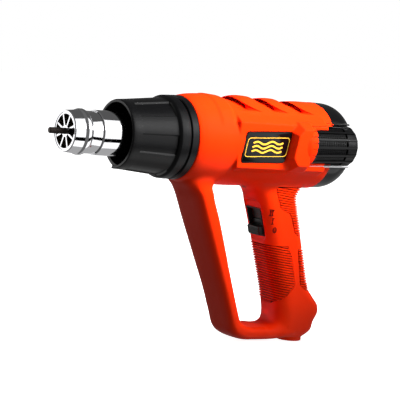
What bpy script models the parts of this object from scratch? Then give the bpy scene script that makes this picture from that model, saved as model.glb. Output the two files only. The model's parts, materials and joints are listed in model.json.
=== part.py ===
"""Corded hot-air gun with a closed D-shaped handle, built as separate sub-parts.

All lengths below are millimetres in the barrel's own frame: X runs along the barrel
towards the back, Y to the tool's right side, Z up, with X = 0 where the black collar
meets the red housing. An empty shifts that frame to the part's origin, which is the
middle of the underside of its bounding box. Meshes are stored in metres.
"""

import bpy
import bmesh
from math import cos, pi, radians, sin, tan
from mathutils import Matrix, Vector

MM = 0.001
GAP = 0.3                      # clearance kept between touching pieces

# Overall layout
ROD_TIP_X = -114.3
NOZZLE_FACE_X = -100.9
COLLAR_FRONT_X = -56.0
BODY_REAR_X = 127.7
CAP_SHOULDER_X = 136.0
CAP_REAR_X = 162.0
FOOT_Z = -160.1                # underside of the cord boss
BODY_RIGHT_Y = 36.1
POD_OUTER_Y = -44.5

# Housing
WALL = 2.5
DOME_POWER = 0.86
BODY_FRONT_RADIUS = 32.7
BODY_RADIUS = 35.6
BELLY_RADIUS = 36.1
BODY_PROFILE = [(0.0, BODY_FRONT_RADIUS), (4.0, 33.9), (10.0, 34.9), (20.0, 35.4),
                (34.0, BODY_RADIUS), (50.0, BELLY_RADIUS), (62.0, BODY_RADIUS),
                (84.0, BODY_RADIUS), (105.0, 35.3), (BODY_REAR_X, 35.1)]

# Flat panels on both sides of the barrel
PANEL_Y = 34.9
PANEL_FRONT_X = 36.0
PANEL_REAR_X = 121.5

# Air intakes on top: swept slots between three overlapping fins
LOUVER_RIDGES_X = (34.0, 62.0, 90.0)
LOUVER_LIP = 8.0               # fin lip behind the ridge in front of it
LOUVER_DEPTH = 6.0
LOUVER_HALF_ANGLE = radians(44.0)
RIDGE_SWEEP = 9.5
LIP_SWEEP = 20.0

# Relief in the collar's lip, low on the right side
NOTCH_ANGLE = radians(42.0)    # from straight down
NOTCH_HALF_WIDTH = 17.0
NOTCH_DEPTH = 7.0

# Nozzle and heater
TUBE_RADIUS = 17.2
TUBE_WALL = 0.8
TUBE_FRONT_X = -76.0
TUBE_REAR_X = 8.0
TIP_NECK_RADIUS = 16.15
ROD_RADIUS = 2.35
ROD_REAR_X = 9.0
CORE_RADIUS = 12.2
COIL_RADIUS = 13.6
COIL_WIRE = 0.5
COIL_TURNS = 7

# Fan and motor, all on the barrel's axis
SHAFT_RADIUS = 1.5
SHAFT_FRONT_X = 24.0
SHAFT_REAR_X = 84.0
FAN_FRONT_X = 26.0
FAN_REAR_X = 38.0
FAN_RADIUS = 26.5
FAN_BLADES = 7
MOTOR_FRONT_X = 47.0
MOTOR_REAR_X = 78.0
MOTOR_RADIUS = 14.5

# Temperature dial: raked, half sunk in the housing's left rear side
DIAL_RAKE = radians(1.6)
DIAL_Y = -25.4
DIAL_SEAT_X = 103.0            # front face of the dial
DIAL_SEAT_Z = 1.4
DIAL_LENGTH = 47.4
DIAL_RADIUS = 17.3
DIAL_END_RADIUS = 16.6
DIAL_RIBS = 16
POCKET_RADIUS = DIAL_RADIUS + 0.8
POCKET_FLOOR = -1.0            # pocket floor, along the dial's axis from its front face
POD_RADIUS = 19.1
POD_RIM = 2.6                  # middle of the pod's slanted rim, behind the dial's face
POD_RIM_SLANT = radians(6.0)
POT_SHAFT_RADIUS = 3.0

PLATE_LEAN = radians(10.0)     # nameplate, from upright

# Grip, guard and base
GRIP_RAKE = radians(18.6)
GRIP_HALF_WIDTH = 17.5
SWITCH_Z = -70.2               # middle of the slide button at position 0
SLIDE_TRAVEL = 13.4            # position 0 to position II
BUTTON_HALF_WIDTH = 8.1
BUTTON_HALF_HEIGHT = 3.9
BOSS_X = 131.5
BOSS_RADIUS = 10.4
BOSS_HEIGHT = 4.0

# Side view of the grip: height, front, back, half width
GRIP_ROWS = [(-24.0, 62.0, 126.0, 17.0), (-33.0, 69.0, 121.0, 17.0), (-41.0, 75.8, 116.5, 17.3),
             (-50.0, 79.2, 118.0, GRIP_HALF_WIDTH), (-80.0, 90.2, 127.2, GRIP_HALF_WIDTH),
             (-112.0, 101.3, 136.6, GRIP_HALF_WIDTH), (-121.0, 104.3, 142.5, 17.6),
             (-129.0, 106.4, 149.6, 17.9), (-136.0, 108.0, 150.8, 17.9), (-143.0, 108.0, 147.4, 17.7),
             (-150.0, 107.0, 145.6, 17.4), (-155.5, 106.0, 139.0, 16.0)]

# Guard and bottom bar: outer (x, z), inner (x, z), half width, inner edge bevel
GUARD_ROWS = [((1.0, -24.0), (24.0, -22.0), 20.0, 1.2), ((4.4, -33.4), (27.8, -33.0), 20.0, 1.2),
              ((13.2, -43.0), (29.4, -44.0), 20.4, 1.2), ((21.9, -61.9), (37.2, -61.9), 20.0, 1.2),
              ((30.9, -80.9), (44.8, -80.9), 19.2, 1.2), ((40.0, -100.1), (52.4, -100.1), 18.2, 1.2),
              ((49.2, -119.4), (60.2, -119.4), 17.4, 1.4), ((57.0, -138.0), (67.2, -136.6), 17.2, 1.8),
              ((61.6, -149.4), (70.0, -142.4), 17.4, 2.6), ((67.0, -155.0), (74.0, -145.6), 17.8, 3.2),
              ((75.0, -158.0), (79.6, -147.0), 18.0, 3.6), ((85.0, -158.4), (85.0, -147.4), 18.0, 3.6),
              ((106.0, -158.0), (104.0, -147.0), 18.0, 3.6),
              ((124.0, -155.6), (124.0, -146.6), 17.6, 3.0)]

# Six housing screws: x, z of each axis, and the y of the heads
SCREWS = [(24.0, -52.0), (57.8, -128.0), (96.0, -40.0), (118.0, -95.0), (140.0, -140.0), (56.0, -28.0)]
SCREW_HEAD_Y = 12.5

RED = ("red_abs", (0.80, 0.045, 0.008), 0.38, 0.0)
BLACK = ("black_plastic", (0.012, 0.012, 0.013), 0.35, 0.0)
GLOSS_BLACK = ("gloss_black_plastic", (0.010, 0.010, 0.011), 0.12, 0.0)
CHROME = ("chrome", (0.80, 0.80, 0.82), 0.08, 1.0)
STEEL = ("steel", (0.55, 0.55, 0.57), 0.35, 1.0)
DARK_STEEL = ("oxidised_steel", (0.06, 0.045, 0.04), 0.45, 1.0)
GOLD = ("gold_print", (0.80, 0.50, 0.08), 0.30, 1.0)
MICA = ("mica", (0.62, 0.52, 0.38), 0.60, 0.0)
CERAMIC = ("ceramic", (0.80, 0.77, 0.70), 0.55, 0.0)
BRASS = ("brass", (0.70, 0.50, 0.20), 0.30, 1.0)
BOARD = ("circuit_board", (0.03, 0.16, 0.06), 0.45, 0.0)


# ---------------------------------------------------------------- scene helpers

def clear_scene():
    for item in list(bpy.data.objects):
        bpy.data.objects.remove(item, do_unlink=True)


def material(spec):
    name, colour, roughness, metallic = spec
    made = bpy.data.materials.get(name)
    if made is None:
        made = bpy.data.materials.new(name)
        made.use_nodes = True
        shader = made.node_tree.nodes["Principled BSDF"]
        shader.inputs["Base Color"].default_value = (*colour, 1.0)
        shader.inputs["Roughness"].default_value = roughness
        shader.inputs["Metallic"].default_value = metallic
        made.diffuse_color = (*colour, 1.0)
    return made


def mesh_of(bm, name="piece"):
    """Finish a bmesh whose coordinates are in millimetres."""
    bmesh.ops.recalc_face_normals(bm, faces=bm.faces)
    bmesh.ops.scale(bm, vec=(MM, MM, MM), verts=bm.verts)
    mesh = bpy.data.meshes.new(name)
    bm.to_mesh(mesh)
    bm.free()
    return mesh


def smooth(mesh, angle=40.0):
    mesh.shade_smooth()
    mesh.set_sharp_from_angle(angle=radians(angle))


def node(name, mesh, spec, parent, place=(0, 0, 0), turn=(0, 0, 0)):
    """A named sub-part; its place is in millimetres under its parent."""
    made = bpy.data.objects.new(name, mesh)
    bpy.context.scene.collection.objects.link(made)
    mesh.materials.clear()
    mesh.materials.append(material(spec))
    smooth(mesh)
    made.parent = parent
    made.location = Vector(place) * MM
    made.rotation_euler = turn
    return made


def empty(name, place=(0, 0, 0), turn=(0, 0, 0), parent=None):
    made = bpy.data.objects.new(name, None)
    bpy.context.scene.collection.objects.link(made)
    made.location = Vector(place) * MM
    made.rotation_euler = turn
    made.parent = parent
    return made


def combine(base, steps):
    """Apply Boolean steps, pairs of (operation, mesh), and return one clean mesh."""
    scene = bpy.context.scene.collection
    body = bpy.data.objects.new("combine_body", base)
    scene.objects.link(body)
    helpers = []
    for operation, mesh in steps:
        cutter = bpy.data.objects.new("combine_cutter", mesh)
        cutter.hide_render = True
        cutter.display_type = 'WIRE'
        scene.objects.link(cutter)
        helpers.append(cutter)
        step = body.modifiers.new(operation.lower(), 'BOOLEAN')
        step.operation = operation
        step.solver = 'EXACT'
        step.object = cutter
    bpy.context.view_layer.update()
    evaluated = body.evaluated_get(bpy.context.evaluated_depsgraph_get())
    result = bpy.data.meshes.new_from_object(evaluated)
    for item in helpers + [body]:
        bpy.data.objects.remove(item, do_unlink=True)
    bm = bmesh.new()
    bm.from_mesh(result)
    bmesh.ops.remove_doubles(bm, verts=bm.verts, dist=1e-6)
    bm.to_mesh(result)
    bm.free()
    return result


# ---------------------------------------------------------------- shape helpers

def revolve(profile, segments=36, closed=False):
    """Turn a profile of (x, radius) points about the X axis.

    A closed profile makes a ring; an open one starts and ends on the axis.
    """
    bm = bmesh.new()
    rings = []
    for x, radius in profile:
        if radius == 0.0:
            rings.append([bm.verts.new((x, 0.0, 0.0))])
            continue
        angles = [2 * pi * i / segments for i in range(segments)]
        rings.append([bm.verts.new((x, radius * sin(a), radius * cos(a))) for a in angles])
    pairs = list(zip(rings, rings[1:]))
    if closed:
        pairs.append((rings[-1], rings[0]))
    for first, second in pairs:
        for i in range(segments):
            j = (i + 1) % segments
            corners = [first[i % len(first)], first[j % len(first)],
                       second[j % len(second)], second[i % len(second)]]
            bm.faces.new(list(dict.fromkeys(corners)))
    return mesh_of(bm)


def tube(x0, x1, outer, inner, segments=28):
    return revolve([(x0, inner), (x0, outer), (x1, outer), (x1, inner)], segments, closed=True)


def rod(x0, x1, radius, segments=16, chamfer=0.0):
    if chamfer == 0.0:
        return revolve([(x0, 0.0), (x0, radius), (x1, radius), (x1, 0.0)], segments)
    inner = radius - chamfer
    return revolve([(x0, 0.0), (x0, inner), (x0 + chamfer, radius), (x1 - chamfer, radius),
                    (x1, inner), (x1, 0.0)], segments)


def moved(mesh, place=(0, 0, 0), turn=None):
    """Move a mesh by millimetres, after an optional rotation matrix."""
    matrix = Matrix.Translation(Vector(place) * MM)
    if turn is not None:
        matrix = matrix @ turn.to_4x4()
    mesh.transform(matrix)
    return mesh


def box(low, high):
    bm = bmesh.new()
    bmesh.ops.create_cube(bm, size=1.0)
    size = [b - a for a, b in zip(low, high)]
    middle = [(a + b) / 2 for a, b in zip(low, high)]
    bmesh.ops.scale(bm, vec=size, verts=bm.verts)
    bmesh.ops.translate(bm, vec=middle, verts=bm.verts)
    return mesh_of(bm)


def loft(loops):
    """Skin a row of loops that have equal numbers of points, with flat end caps."""
    bm = bmesh.new()
    rows = [[bm.verts.new(point) for point in loop] for loop in loops]
    count = len(rows[0])
    for first, second in zip(rows, rows[1:]):
        for i in range(count):
            j = (i + 1) % count
            bm.faces.new((first[i], first[j], second[j], second[i]))
    bm.faces.new(rows[0])
    bm.faces.new(rows[-1])
    return mesh_of(bm)


def prism(outline, y0, y1):
    """Extrude an outline of (x, z) points along Y."""
    return loft([[(x, y, z) for x, z in outline] for y in (y0, y1)])


def rounded_rectangle(length, width, radius, steps=3):
    """Corner-rounded outline about the origin, as (u, v) points."""
    points = []
    for corner, (su, sv) in enumerate(((1, 1), (-1, 1), (-1, -1), (1, -1))):
        for step in range(steps + 1):
            angle = pi / 2 * (corner + step / steps)
            points.append((su * (length / 2 - radius) + radius * cos(angle),
                           sv * (width / 2 - radius) + radius * sin(angle)))
    return points


def lerp(table, key):
    """Piecewise-linear lookup in rows of (key, value, value, ...), keys falling."""
    for above, below in zip(table, table[1:]):
        if key >= below[0]:
            share = (above[0] - key) / (above[0] - below[0])
            return [a + (b - a) * share for a, b in zip(above[1:], below[1:])]
    return list(table[-1][1:])


def along_dial(mesh, distance=0.0):
    """Put a mesh that was turned about X on the dial's raked axis."""
    axis = Vector((cos(DIAL_RAKE), 0.0, sin(DIAL_RAKE)))
    place = Vector((DIAL_SEAT_X, DIAL_Y, DIAL_SEAT_Z)) + axis * distance
    return moved(mesh, place, Matrix.Rotation(-DIAL_RAKE, 3, 'Y'))


# ---------------------------------------------------------------- housing

def grip_solid(inset=0.0, top=-24.0, bottom=-155.5):
    loops = []
    heights = [row[0] for row in GRIP_ROWS if bottom <= row[0] <= top]
    heights = sorted(set(heights + [top, bottom]), reverse=True)
    for z in heights:
        front, back, half = lerp(GRIP_ROWS, z)
        radius = min(12.0, half - 4.0) - inset
        outline = rounded_rectangle(back - front - 2 * inset, 2 * (half - inset), radius)
        loops.append([((front + back) / 2 + u, v, z) for u, v in outline])
    return loft(loops)


def guard_loop(outer, inner, half, bevel, steps=6):
    """One cross-section: flat inside face, straight sides and a crowned outer face."""
    across = Vector((outer[0] - inner[0], outer[1] - inner[1]))
    thickness = across.length
    across.normalize()
    points = [(bevel, half), (0.0, half - bevel), (0.0, bevel - half), (bevel, -half)]
    side = 0.5 * thickness
    for step in range(steps + 1):
        angle = pi * step / steps
        width = -half * (1 if cos(angle) >= 0 else -1) * abs(cos(angle)) ** 0.55
        points.append((side + (thickness - side) * sin(angle) ** 0.8, width))
    return [(inner[0] + across.x * t, y, inner[1] + across.y * t) for t, y in points]


def guard_solid():
    return loft([guard_loop(*row) for row in GUARD_ROWS])


def guard_cavity():
    """Hollow inside the guard, which keeps its two halves thin."""
    loops = []
    for outer, inner, half, _ in GUARD_ROWS[3:7]:
        first, last = inner[0] - 2.4, outer[0] + 3.2
        loops.append([(first, half - 4.5, inner[1]), (last, half - 8.0, outer[1]),
                      (last, 8.0 - half, outer[1]), (first, 4.5 - half, inner[1])])
    return loft(loops)


def side_panel(side):
    """Flat panel raised on one side of the barrel; side is -1 for the left."""
    section = [(24.0, 25.4), (PANEL_Y, 17.6), (PANEL_Y, -18.0), (27.0, -22.6), (20.0, 0.0)]
    sunk = [(24.0, 20.0), (30.0, 16.0), (30.0, -16.0), (26.0, -18.0), (20.0, 0.0)]
    loops = []
    for x, outline in ((PANEL_FRONT_X - 2.0, sunk), (PANEL_FRONT_X, section),
                       (PANEL_REAR_X, section)):
        loops.append([(x, side * y, z) for y, z in outline])
    return loft(loops)


def pod_solid():
    """Chamfered block on the left side that grows into a round sleeve for the dial."""
    base = [(81.0, -11.0), (85.2, 12.8), (92.0, 19.8), (104.0, 20.2), (102.0, -19.6), (87.0, -19.2)]
    middle_x, middle_z = 96.0, 0.5
    loops = []
    for y, shrink in ((-20.0, 1.0), (-34.0, 1.0), (POD_OUTER_Y + 1.6, 0.74)):
        loops.append([(middle_x + (x - middle_x) * shrink, y, middle_z + (z - middle_z) * shrink)
                      for x, z in base])
    return loft(loops)


def pod_sleeve():
    """Sleeve round the dial's front end, cut off on a slant."""
    sleeve = rod(-13.0, POD_RIM + 5.0, POD_RADIUS, 36)
    waste = moved(box((0.0, -30.0, -30.0), (20.0, 30.0, 30.0)), (POD_RIM, 0.0, 0.0),
                  Matrix.Rotation(POD_RIM_SLANT, 3, 'Y'))
    return along_dial(combine(sleeve, [('DIFFERENCE', waste)]))


def barrel_cavity():
    profile = [(-5.0, 0.0), (-5.0, 30.0), (8.3, 30.0), (8.3, 32.2)]
    profile += [(14.0, 32.4), (BODY_REAR_X - 8.0, 32.4), (BODY_REAR_X + 5.0, 32.4)]
    return revolve(profile + [(BODY_REAR_X + 5.0, 0.0)], 38)


def louver_cut(ridge_x, sections=11):
    """Swept intake slot: it dives behind a ridge and runs in under the next fin's lip."""
    loops = []
    for index in range(sections):
        share = 2 * index / (sections - 1) - 1
        angle = LOUVER_HALF_ANGLE * share
        fade = 1 - share ** 2
        ridge = ridge_x + RIDGE_SWEEP * share ** 2
        lip = ridge_x + LOUVER_LIP + LIP_SWEEP * share ** 2
        depth = LOUVER_DEPTH * fade + 1.0
        outline = [(ridge - 2.0, 2.5), (ridge, 0.0), (lip + 6.0, -depth),
                   (lip + 7.5, 0.4 + 1.8 * fade - depth), (lip, -0.1 - 0.8 * fade), (lip - 1.2, 2.5)]
        loops.append([(x, (BODY_RADIUS + rise) * sin(angle), (BODY_RADIUS + rise) * cos(angle))
                      for x, rise in outline])
    return loft(loops)


def plate_recess(depth_y, margin):
    """Leaning parallelogram on the left side; the nameplate fits the same outline."""
    lean = tan(PLATE_LEAN)
    outline = []
    for x, z in ((38.6, -13.6), (81.4, -12.4), (81.4, 12.0), (38.6, 10.2)):
        outline.append((x + lean * (z + 13.6), z))
    middle = (sum(p[0] for p in outline) / 4, sum(p[1] for p in outline) / 4)
    grown = []
    for x, z in outline:
        grown.append((x + margin * (1 if x > middle[0] else -1),
                      z + margin * (1 if z > middle[1] else -1)))
    return prism(grown, depth_y, -45.0)


def switch_axis():
    return Vector((-sin(GRIP_RAKE), 0.0, cos(GRIP_RAKE)))


def switch_place():
    """Middle of the slide button on the grip's front face, at position 0."""
    front = lerp(GRIP_ROWS, SWITCH_Z)[0]
    return Vector((front, 0.0, SWITCH_Z))


def on_switch(mesh, along=0.0):
    """Place a mesh whose local Z runs along the slide and whose -X faces forwards."""
    place = switch_place() + switch_axis() * along
    return moved(mesh, place, Matrix.Rotation(-GRIP_RAKE, 3, 'Y'))


def housing_mesh():
    body = revolve([(0.0, 0.0)] + BODY_PROFILE + [(BODY_REAR_X, 0.0)], 48)
    steps = [('UNION', side_panel(side)) for side in (-1, 1)]
    steps += [('UNION', grip_solid()), ('UNION', guard_solid()), ('UNION', pod_solid()),
              ('UNION', pod_sleeve())]
    steps += [('DIFFERENCE', louver_cut(ridge)) for ridge in LOUVER_RIDGES_X]
    steps.append(('DIFFERENCE', plate_recess(-33.3, 0.4)))
    return combine(body, steps)


def cavity_mesh():
    pot_room = along_dial(rod(-15.0, POCKET_FLOOR - WALL - 0.4, 13.0, 30))
    pocket_wall = along_dial(rod(POCKET_FLOOR - WALL, 60.0, POCKET_RADIUS + WALL, 32))
    keel = box((60.0, -5.0, -36.0), (118.0, 5.0, -24.0))
    steps = [('DIFFERENCE', pocket_wall), ('UNION', pot_room),
             ('UNION', grip_solid(WALL, -30.0, -150.5)), ('UNION', keel)]
    return combine(barrel_cavity(), steps)


def screw_bore(x, z):
    """Counterbore in the right shell and a thread core that reaches the left shell."""
    head = rod(SCREW_HEAD_Y, 60.0, 3.4, 20)
    core = rod(-9.0, 60.0, 1.8, 16)
    steps = []
    for mesh in (head, core):
        moved(mesh, (x, 0.0, z), Matrix.Rotation(pi / 2, 3, 'Z'))
        steps.append(('DIFFERENCE', mesh))
    return steps


def screw_post(x, z):
    """Solid post round a screw where the housing is hollow."""
    post = rod(-GRIP_HALF_WIDTH + 2.0, GRIP_HALF_WIDTH - 2.0, 5.2, 20)
    return moved(post, (x, 0.0, z), Matrix.Rotation(pi / 2, 3, 'Z'))


def shells(root):
    hollow = combine(cavity_mesh(), [('DIFFERENCE', screw_post(x, z)) for x, z in SCREWS[2:5]])
    steps = [('DIFFERENCE', hollow), ('DIFFERENCE', guard_cavity())]
    steps.append(('DIFFERENCE', along_dial(rod(POCKET_FLOOR, 60.0, POCKET_RADIUS, 36))))
    steps.append(('DIFFERENCE', along_dial(rod(-10.0, 2.0, POT_SHAFT_RADIUS + 0.6, 20))))
    half_width = BUTTON_HALF_WIDTH + 0.5
    window = box((-9.0, -half_width, -BUTTON_HALF_HEIGHT - 0.5),
                 (9.0, half_width, BUTTON_HALF_HEIGHT + SLIDE_TRAVEL + 0.5))
    steps.append(('DIFFERENCE', on_switch(window)))
    cord_hole = rod(-6.0, 16.0, 5.2, 20)
    moved(cord_hole, (BOSS_X, 0.0, FOOT_Z), Matrix.Rotation(-pi / 2, 3, 'Y'))
    steps.append(('DIFFERENCE', cord_hole))
    for x, z in SCREWS:
        steps += screw_bore(x, z)
    whole = combine(housing_mesh(), steps)
    halves = (("left_housing_shell", box((-20, -60, -200), (180, -0.15, 60))),
              ("right_housing_shell", box((-20, 0.15, -200), (180, 60, 60))))
    for name, side in halves:
        half = combine(whole.copy(), [('INTERSECT', side)])
        node(name, half, RED, root)


def collar(root):
    """Tapered heat guard with a thick open lip, a step and a spigot in the shells."""
    profile = [(COLLAR_FRONT_X, 24.0), (COLLAR_FRONT_X, 26.2), (COLLAR_FRONT_X + 1.0, 26.6),
               (COLLAR_FRONT_X + 5.0, 26.8), (-19.0, 30.0), (-15.5, 32.2), (-9.0, 32.4), (-8.4, 31.4),
               (-6.6, 31.4), (-6.0, 32.5), (-GAP, 32.6), (-GAP, 29.6), (8.0, 29.6), (8.0, 27.4),
               (-14.0, 27.4), (-50.0, 24.2)]
    notch = box((COLLAR_FRONT_X - 4.0, -NOTCH_HALF_WIDTH, -40.0),
                (COLLAR_FRONT_X + NOTCH_DEPTH, NOTCH_HALF_WIDTH, -18.0))
    moved(notch, turn=Matrix.Rotation(NOTCH_ANGLE, 3, 'X'))
    sleeve = combine(revolve(profile, 44, closed=True), [('DIFFERENCE', notch)])
    node("front_collar", sleeve, BLACK, root)


def dome(x0, radius, length, steps=8):
    """Quarter of a superellipse from (x0, radius) to the axis."""
    points = []
    for step in range(steps):
        angle = pi / 2 * step / steps
        points.append((x0 + length * sin(angle) ** DOME_POWER, radius * cos(angle) ** DOME_POWER))
    return points + [(x0 + length, 0.0)]


def rear_cap(root):
    seat = BODY_REAR_X + GAP
    length = CAP_REAR_X - CAP_SHOULDER_X
    outer = [(seat, 0.0), (seat, 34.6)] + dome(CAP_SHOULDER_X, 34.4, length)
    inner = [(seat - 1.0, 0.0), (seat - 1.0, 31.0)] + dome(CAP_SHOULDER_X, 31.8, length - 2.4)
    spigot = revolve([(seat - 5.0, 31.9), (seat + 1.0, 31.9), (seat + 1.0, 29.8),
                      (seat - 5.0, 29.8)], 40, closed=True)
    wall = along_dial(rod(-5.0, 60.0, POCKET_RADIUS + 2.3, 32))
    hollow = combine(revolve(inner, 30), [('DIFFERENCE', wall)])
    pocket = along_dial(rod(-10.0, 60.0, POCKET_RADIUS, 36))
    pocket_wall_room = along_dial(rod(-30.0, BODY_REAR_X - DIAL_SEAT_X + 1.4,
                                      POCKET_RADIUS + 2.9, 34))
    steps = [('DIFFERENCE', hollow), ('UNION', spigot), ('DIFFERENCE', pocket),
             ('DIFFERENCE', pocket_wall_room)]
    for row in range(-2, 3):
        slot = box((CAP_REAR_X - 14.0, -1.0, -1.1 + 5.0 * row),
                   (CAP_REAR_X + 2.0, 13.0, 1.1 + 5.0 * row))
        steps.append(('DIFFERENCE', slot))
    node("rear_cap", combine(revolve(outer, 40), steps), GLOSS_BLACK, root)


def nameplate(root):
    body = combine(plate_recess(-33.6, 0.0), [('DIFFERENCE', box((0, -50, -30), (120, -34.8, 30)))])
    node("nameplate", body, BLACK, root)
    frame = prism(leaning(rounded_rectangle(40.0, 15.0, 3.0)), -35.1, -35.3)
    hole = prism(leaning(rounded_rectangle(38.8, 13.8, 2.4)), -34.0, -36.0)
    node("badge_trim", combine(frame, [('DIFFERENCE', hole)]), GOLD, root)


def leaning(outline):
    """Lean an outline with the nameplate and put it on the plate's middle."""
    lean = tan(PLATE_LEAN)
    return [(63.0 + u + lean * v, -1.0 + v + 0.03 * u) for u, v in outline]


# ---------------------------------------------------------------- nozzle and heater

def nozzle(root):
    inner = TUBE_RADIUS - TUBE_WALL
    body = revolve([(TUBE_FRONT_X, inner), (TUBE_FRONT_X, TUBE_RADIUS - 0.4),
                    (TUBE_FRONT_X + 0.6, TUBE_RADIUS), (TUBE_REAR_X - 1.0, TUBE_RADIUS),
                    (TUBE_REAR_X - 1.0, 25.0), (TUBE_REAR_X, 25.0), (TUBE_REAR_X, inner)], 40, closed=True)
    node("nozzle_tube", body, CHROME, root)
    face = NOZZLE_FACE_X
    tip = [(face, 14.4), (face, 15.4), (face + 0.5, 15.8), (face + 9.0, 16.6), (face + 10.6, 17.6),
           (face + 14.0, 17.6), (face + 15.4, TIP_NECK_RADIUS),
           (TUBE_FRONT_X + 6.0, TIP_NECK_RADIUS), (TUBE_FRONT_X + 6.0, 15.3), (face + 9.0, 15.3),
           (face + 3.0, 15.2), (face + 3.0, 14.4)]
    node("nozzle_tip", revolve(tip, 36, closed=True), CHROME, root)
    ring = tube(face + 3.3, face + 5.3, 14.9, 13.7, 40)
    steps = [('UNION', tube(face + 0.6, face + 5.3, 4.4, ROD_RADIUS + 0.2, 24))]
    for index in range(8):
        spoke = box((face + 0.8, -0.5, 3.6), (face + 5.0, 0.5, 14.2))
        turn = Matrix.Rotation(2 * pi * (index + 0.5) / 8, 3, 'X')
        steps.append(('UNION', moved(spoke, turn=turn)))
    node("nozzle_spider", combine(ring, steps), CHROME, root)
    node("centre_rod", rod(ROD_TIP_X, ROD_REAR_X, ROD_RADIUS, 24, 0.8), DARK_STEEL, root)


def heater(root):
    liner = tube(TUBE_FRONT_X + 6.5, TUBE_REAR_X - 1.0, 16.1, 15.6, 40)
    node("mica_liner", liner, MICA, root)
    front, back = TUBE_FRONT_X + 9.0, TUBE_REAR_X - 5.0
    steps = []
    for index in range(3):
        fin = box((front, -0.6, -CORE_RADIUS), (back, 0.6, CORE_RADIUS))
        steps.append(('UNION', moved(fin, turn=Matrix.Rotation(pi * index / 3, 3, 'X'))))
    steps.append(('DIFFERENCE', rod(front - 5.0, back + 5.0, ROD_RADIUS + 0.3, 24)))
    node("element_core", combine(rod(front, back, 4.6, 24), steps), MICA, root)
    coil(root, front + 4.0, back - 4.0)
    base = tube(TUBE_REAR_X - 4.6, TUBE_REAR_X - 1.6, 15.2, ROD_RADIUS + 0.3, 40)
    holes = []
    for index in range(6):
        hole = moved(rod(-10.0, 20.0, 3.4, 8), (0.0, 0.0, 9.6))
        turn = Matrix.Rotation(pi * index / 3, 3, 'X')
        holes.append(('DIFFERENCE', moved(hole, turn=turn)))
    node("element_base", combine(base, holes), CERAMIC, root)
    node("thermal_cutout", moved(rod(0.0, 4.0, 3.4, 20, 0.4), (TUBE_REAR_X - 1.2, 0.0, 9.6)), STEEL, root)


def coil(root, front, back, per_turn=12):
    """Heating wire: one helix round the mica fins."""
    curve = bpy.data.curves.new("heating_coil", 'CURVE')
    curve.dimensions = '3D'
    curve.bevel_depth = COIL_WIRE * MM
    curve.bevel_resolution = 0
    curve.use_fill_caps = True
    count = COIL_TURNS * per_turn
    spline = curve.splines.new('POLY')
    spline.points.add(count)
    for index, point in enumerate(spline.points):
        angle = 2 * pi * index / per_turn
        x = front + (back - front) * index / count
        point.co = (x * MM, COIL_RADIUS * sin(angle) * MM, COIL_RADIUS * cos(angle) * MM, 1.0)
    made = bpy.data.objects.new("heating_coil", curve)
    curve.materials.append(material(STEEL))
    bpy.context.scene.collection.objects.link(made)
    made.parent = root


# ---------------------------------------------------------------- blower

def blower(root):
    mount = tube(TUBE_REAR_X + GAP + 0.2, TUBE_REAR_X + 4.5, 31.9, 17.6, 36)
    node("tube_mount_ring", mount, BLACK, root)
    shroud = [(13.0, 17.5), (13.0, 19.2), (23.0, 29.8), (40.0, 29.8), (40.0, 31.9), (42.0, 31.9),
              (42.0, 28.0), (24.0, 28.0), (15.0, 17.5)]
    node("fan_shroud", revolve(shroud, 40, closed=True), BLACK, root)
    bracket = tube(42.4, 45.4, 31.9, 28.6, 30)
    steps = []
    for index in range(4):
        arm = box((42.4, -3.0, 5.0), (45.4, 3.0, 30.0))
        steps.append(('UNION', moved(arm, turn=Matrix.Rotation(pi * (index + 0.5) / 2, 3, 'X'))))
    steps.append(('UNION', tube(42.4, 45.4, 12.0, 4.4, 22)))
    node("motor_bracket", combine(bracket, steps), BLACK, root)
    can = [(MOTOR_FRONT_X, 4.4), (MOTOR_FRONT_X, 13.7), (MOTOR_FRONT_X + 0.8, MOTOR_RADIUS),
           (MOTOR_REAR_X, MOTOR_RADIUS), (MOTOR_REAR_X, 13.2), (MOTOR_FRONT_X + 1.6, 13.2),
           (MOTOR_FRONT_X + 1.6, 4.4)]
    node("motor_can", revolve(can, 32, closed=True), STEEL, root)
    end = [(MOTOR_REAR_X + GAP, 4.4), (MOTOR_REAR_X + GAP, MOTOR_RADIUS), (MOTOR_REAR_X + 3.0, MOTOR_RADIUS),
           (MOTOR_REAR_X + 4.0, 13.4), (MOTOR_REAR_X + 4.0, 4.4)]
    node("motor_end_cap", revolve(end, 32, closed=True), BLACK, root)
    bush_inner = SHAFT_RADIUS + 0.06
    node("front_bush", tube(43.4, 48.4, 4.1, bush_inner, 32), BRASS, root)
    node("rear_bush", tube(MOTOR_REAR_X + 0.6, MOTOR_REAR_X + 4.4, 4.1, bush_inner, 32), BRASS, root)
    axis = empty("rotor_axis", (0, 0, 0), parent=root)
    node("motor_shaft", rod(SHAFT_FRONT_X, SHAFT_REAR_X, SHAFT_RADIUS, 32, 0.3), STEEL, axis)
    slots = []
    for index in range(8):
        slot = box((40.0, -0.9, 7.5), (80.0, 0.9, 20.0))
        turn = Matrix.Rotation(2 * pi * index / 8, 3, 'X')
        slots.append(('DIFFERENCE', moved(slot, turn=turn)))
    core = tube(52.0, 70.0, 11.6, SHAFT_RADIUS + 0.1, 24)
    node("armature", combine(core, slots), STEEL, axis)
    node("commutator", tube(71.0, 77.0, 5.0, SHAFT_RADIUS + 0.1, 24), BRASS, axis)
    node("fan_impeller", impeller(), BLACK, axis)


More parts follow.
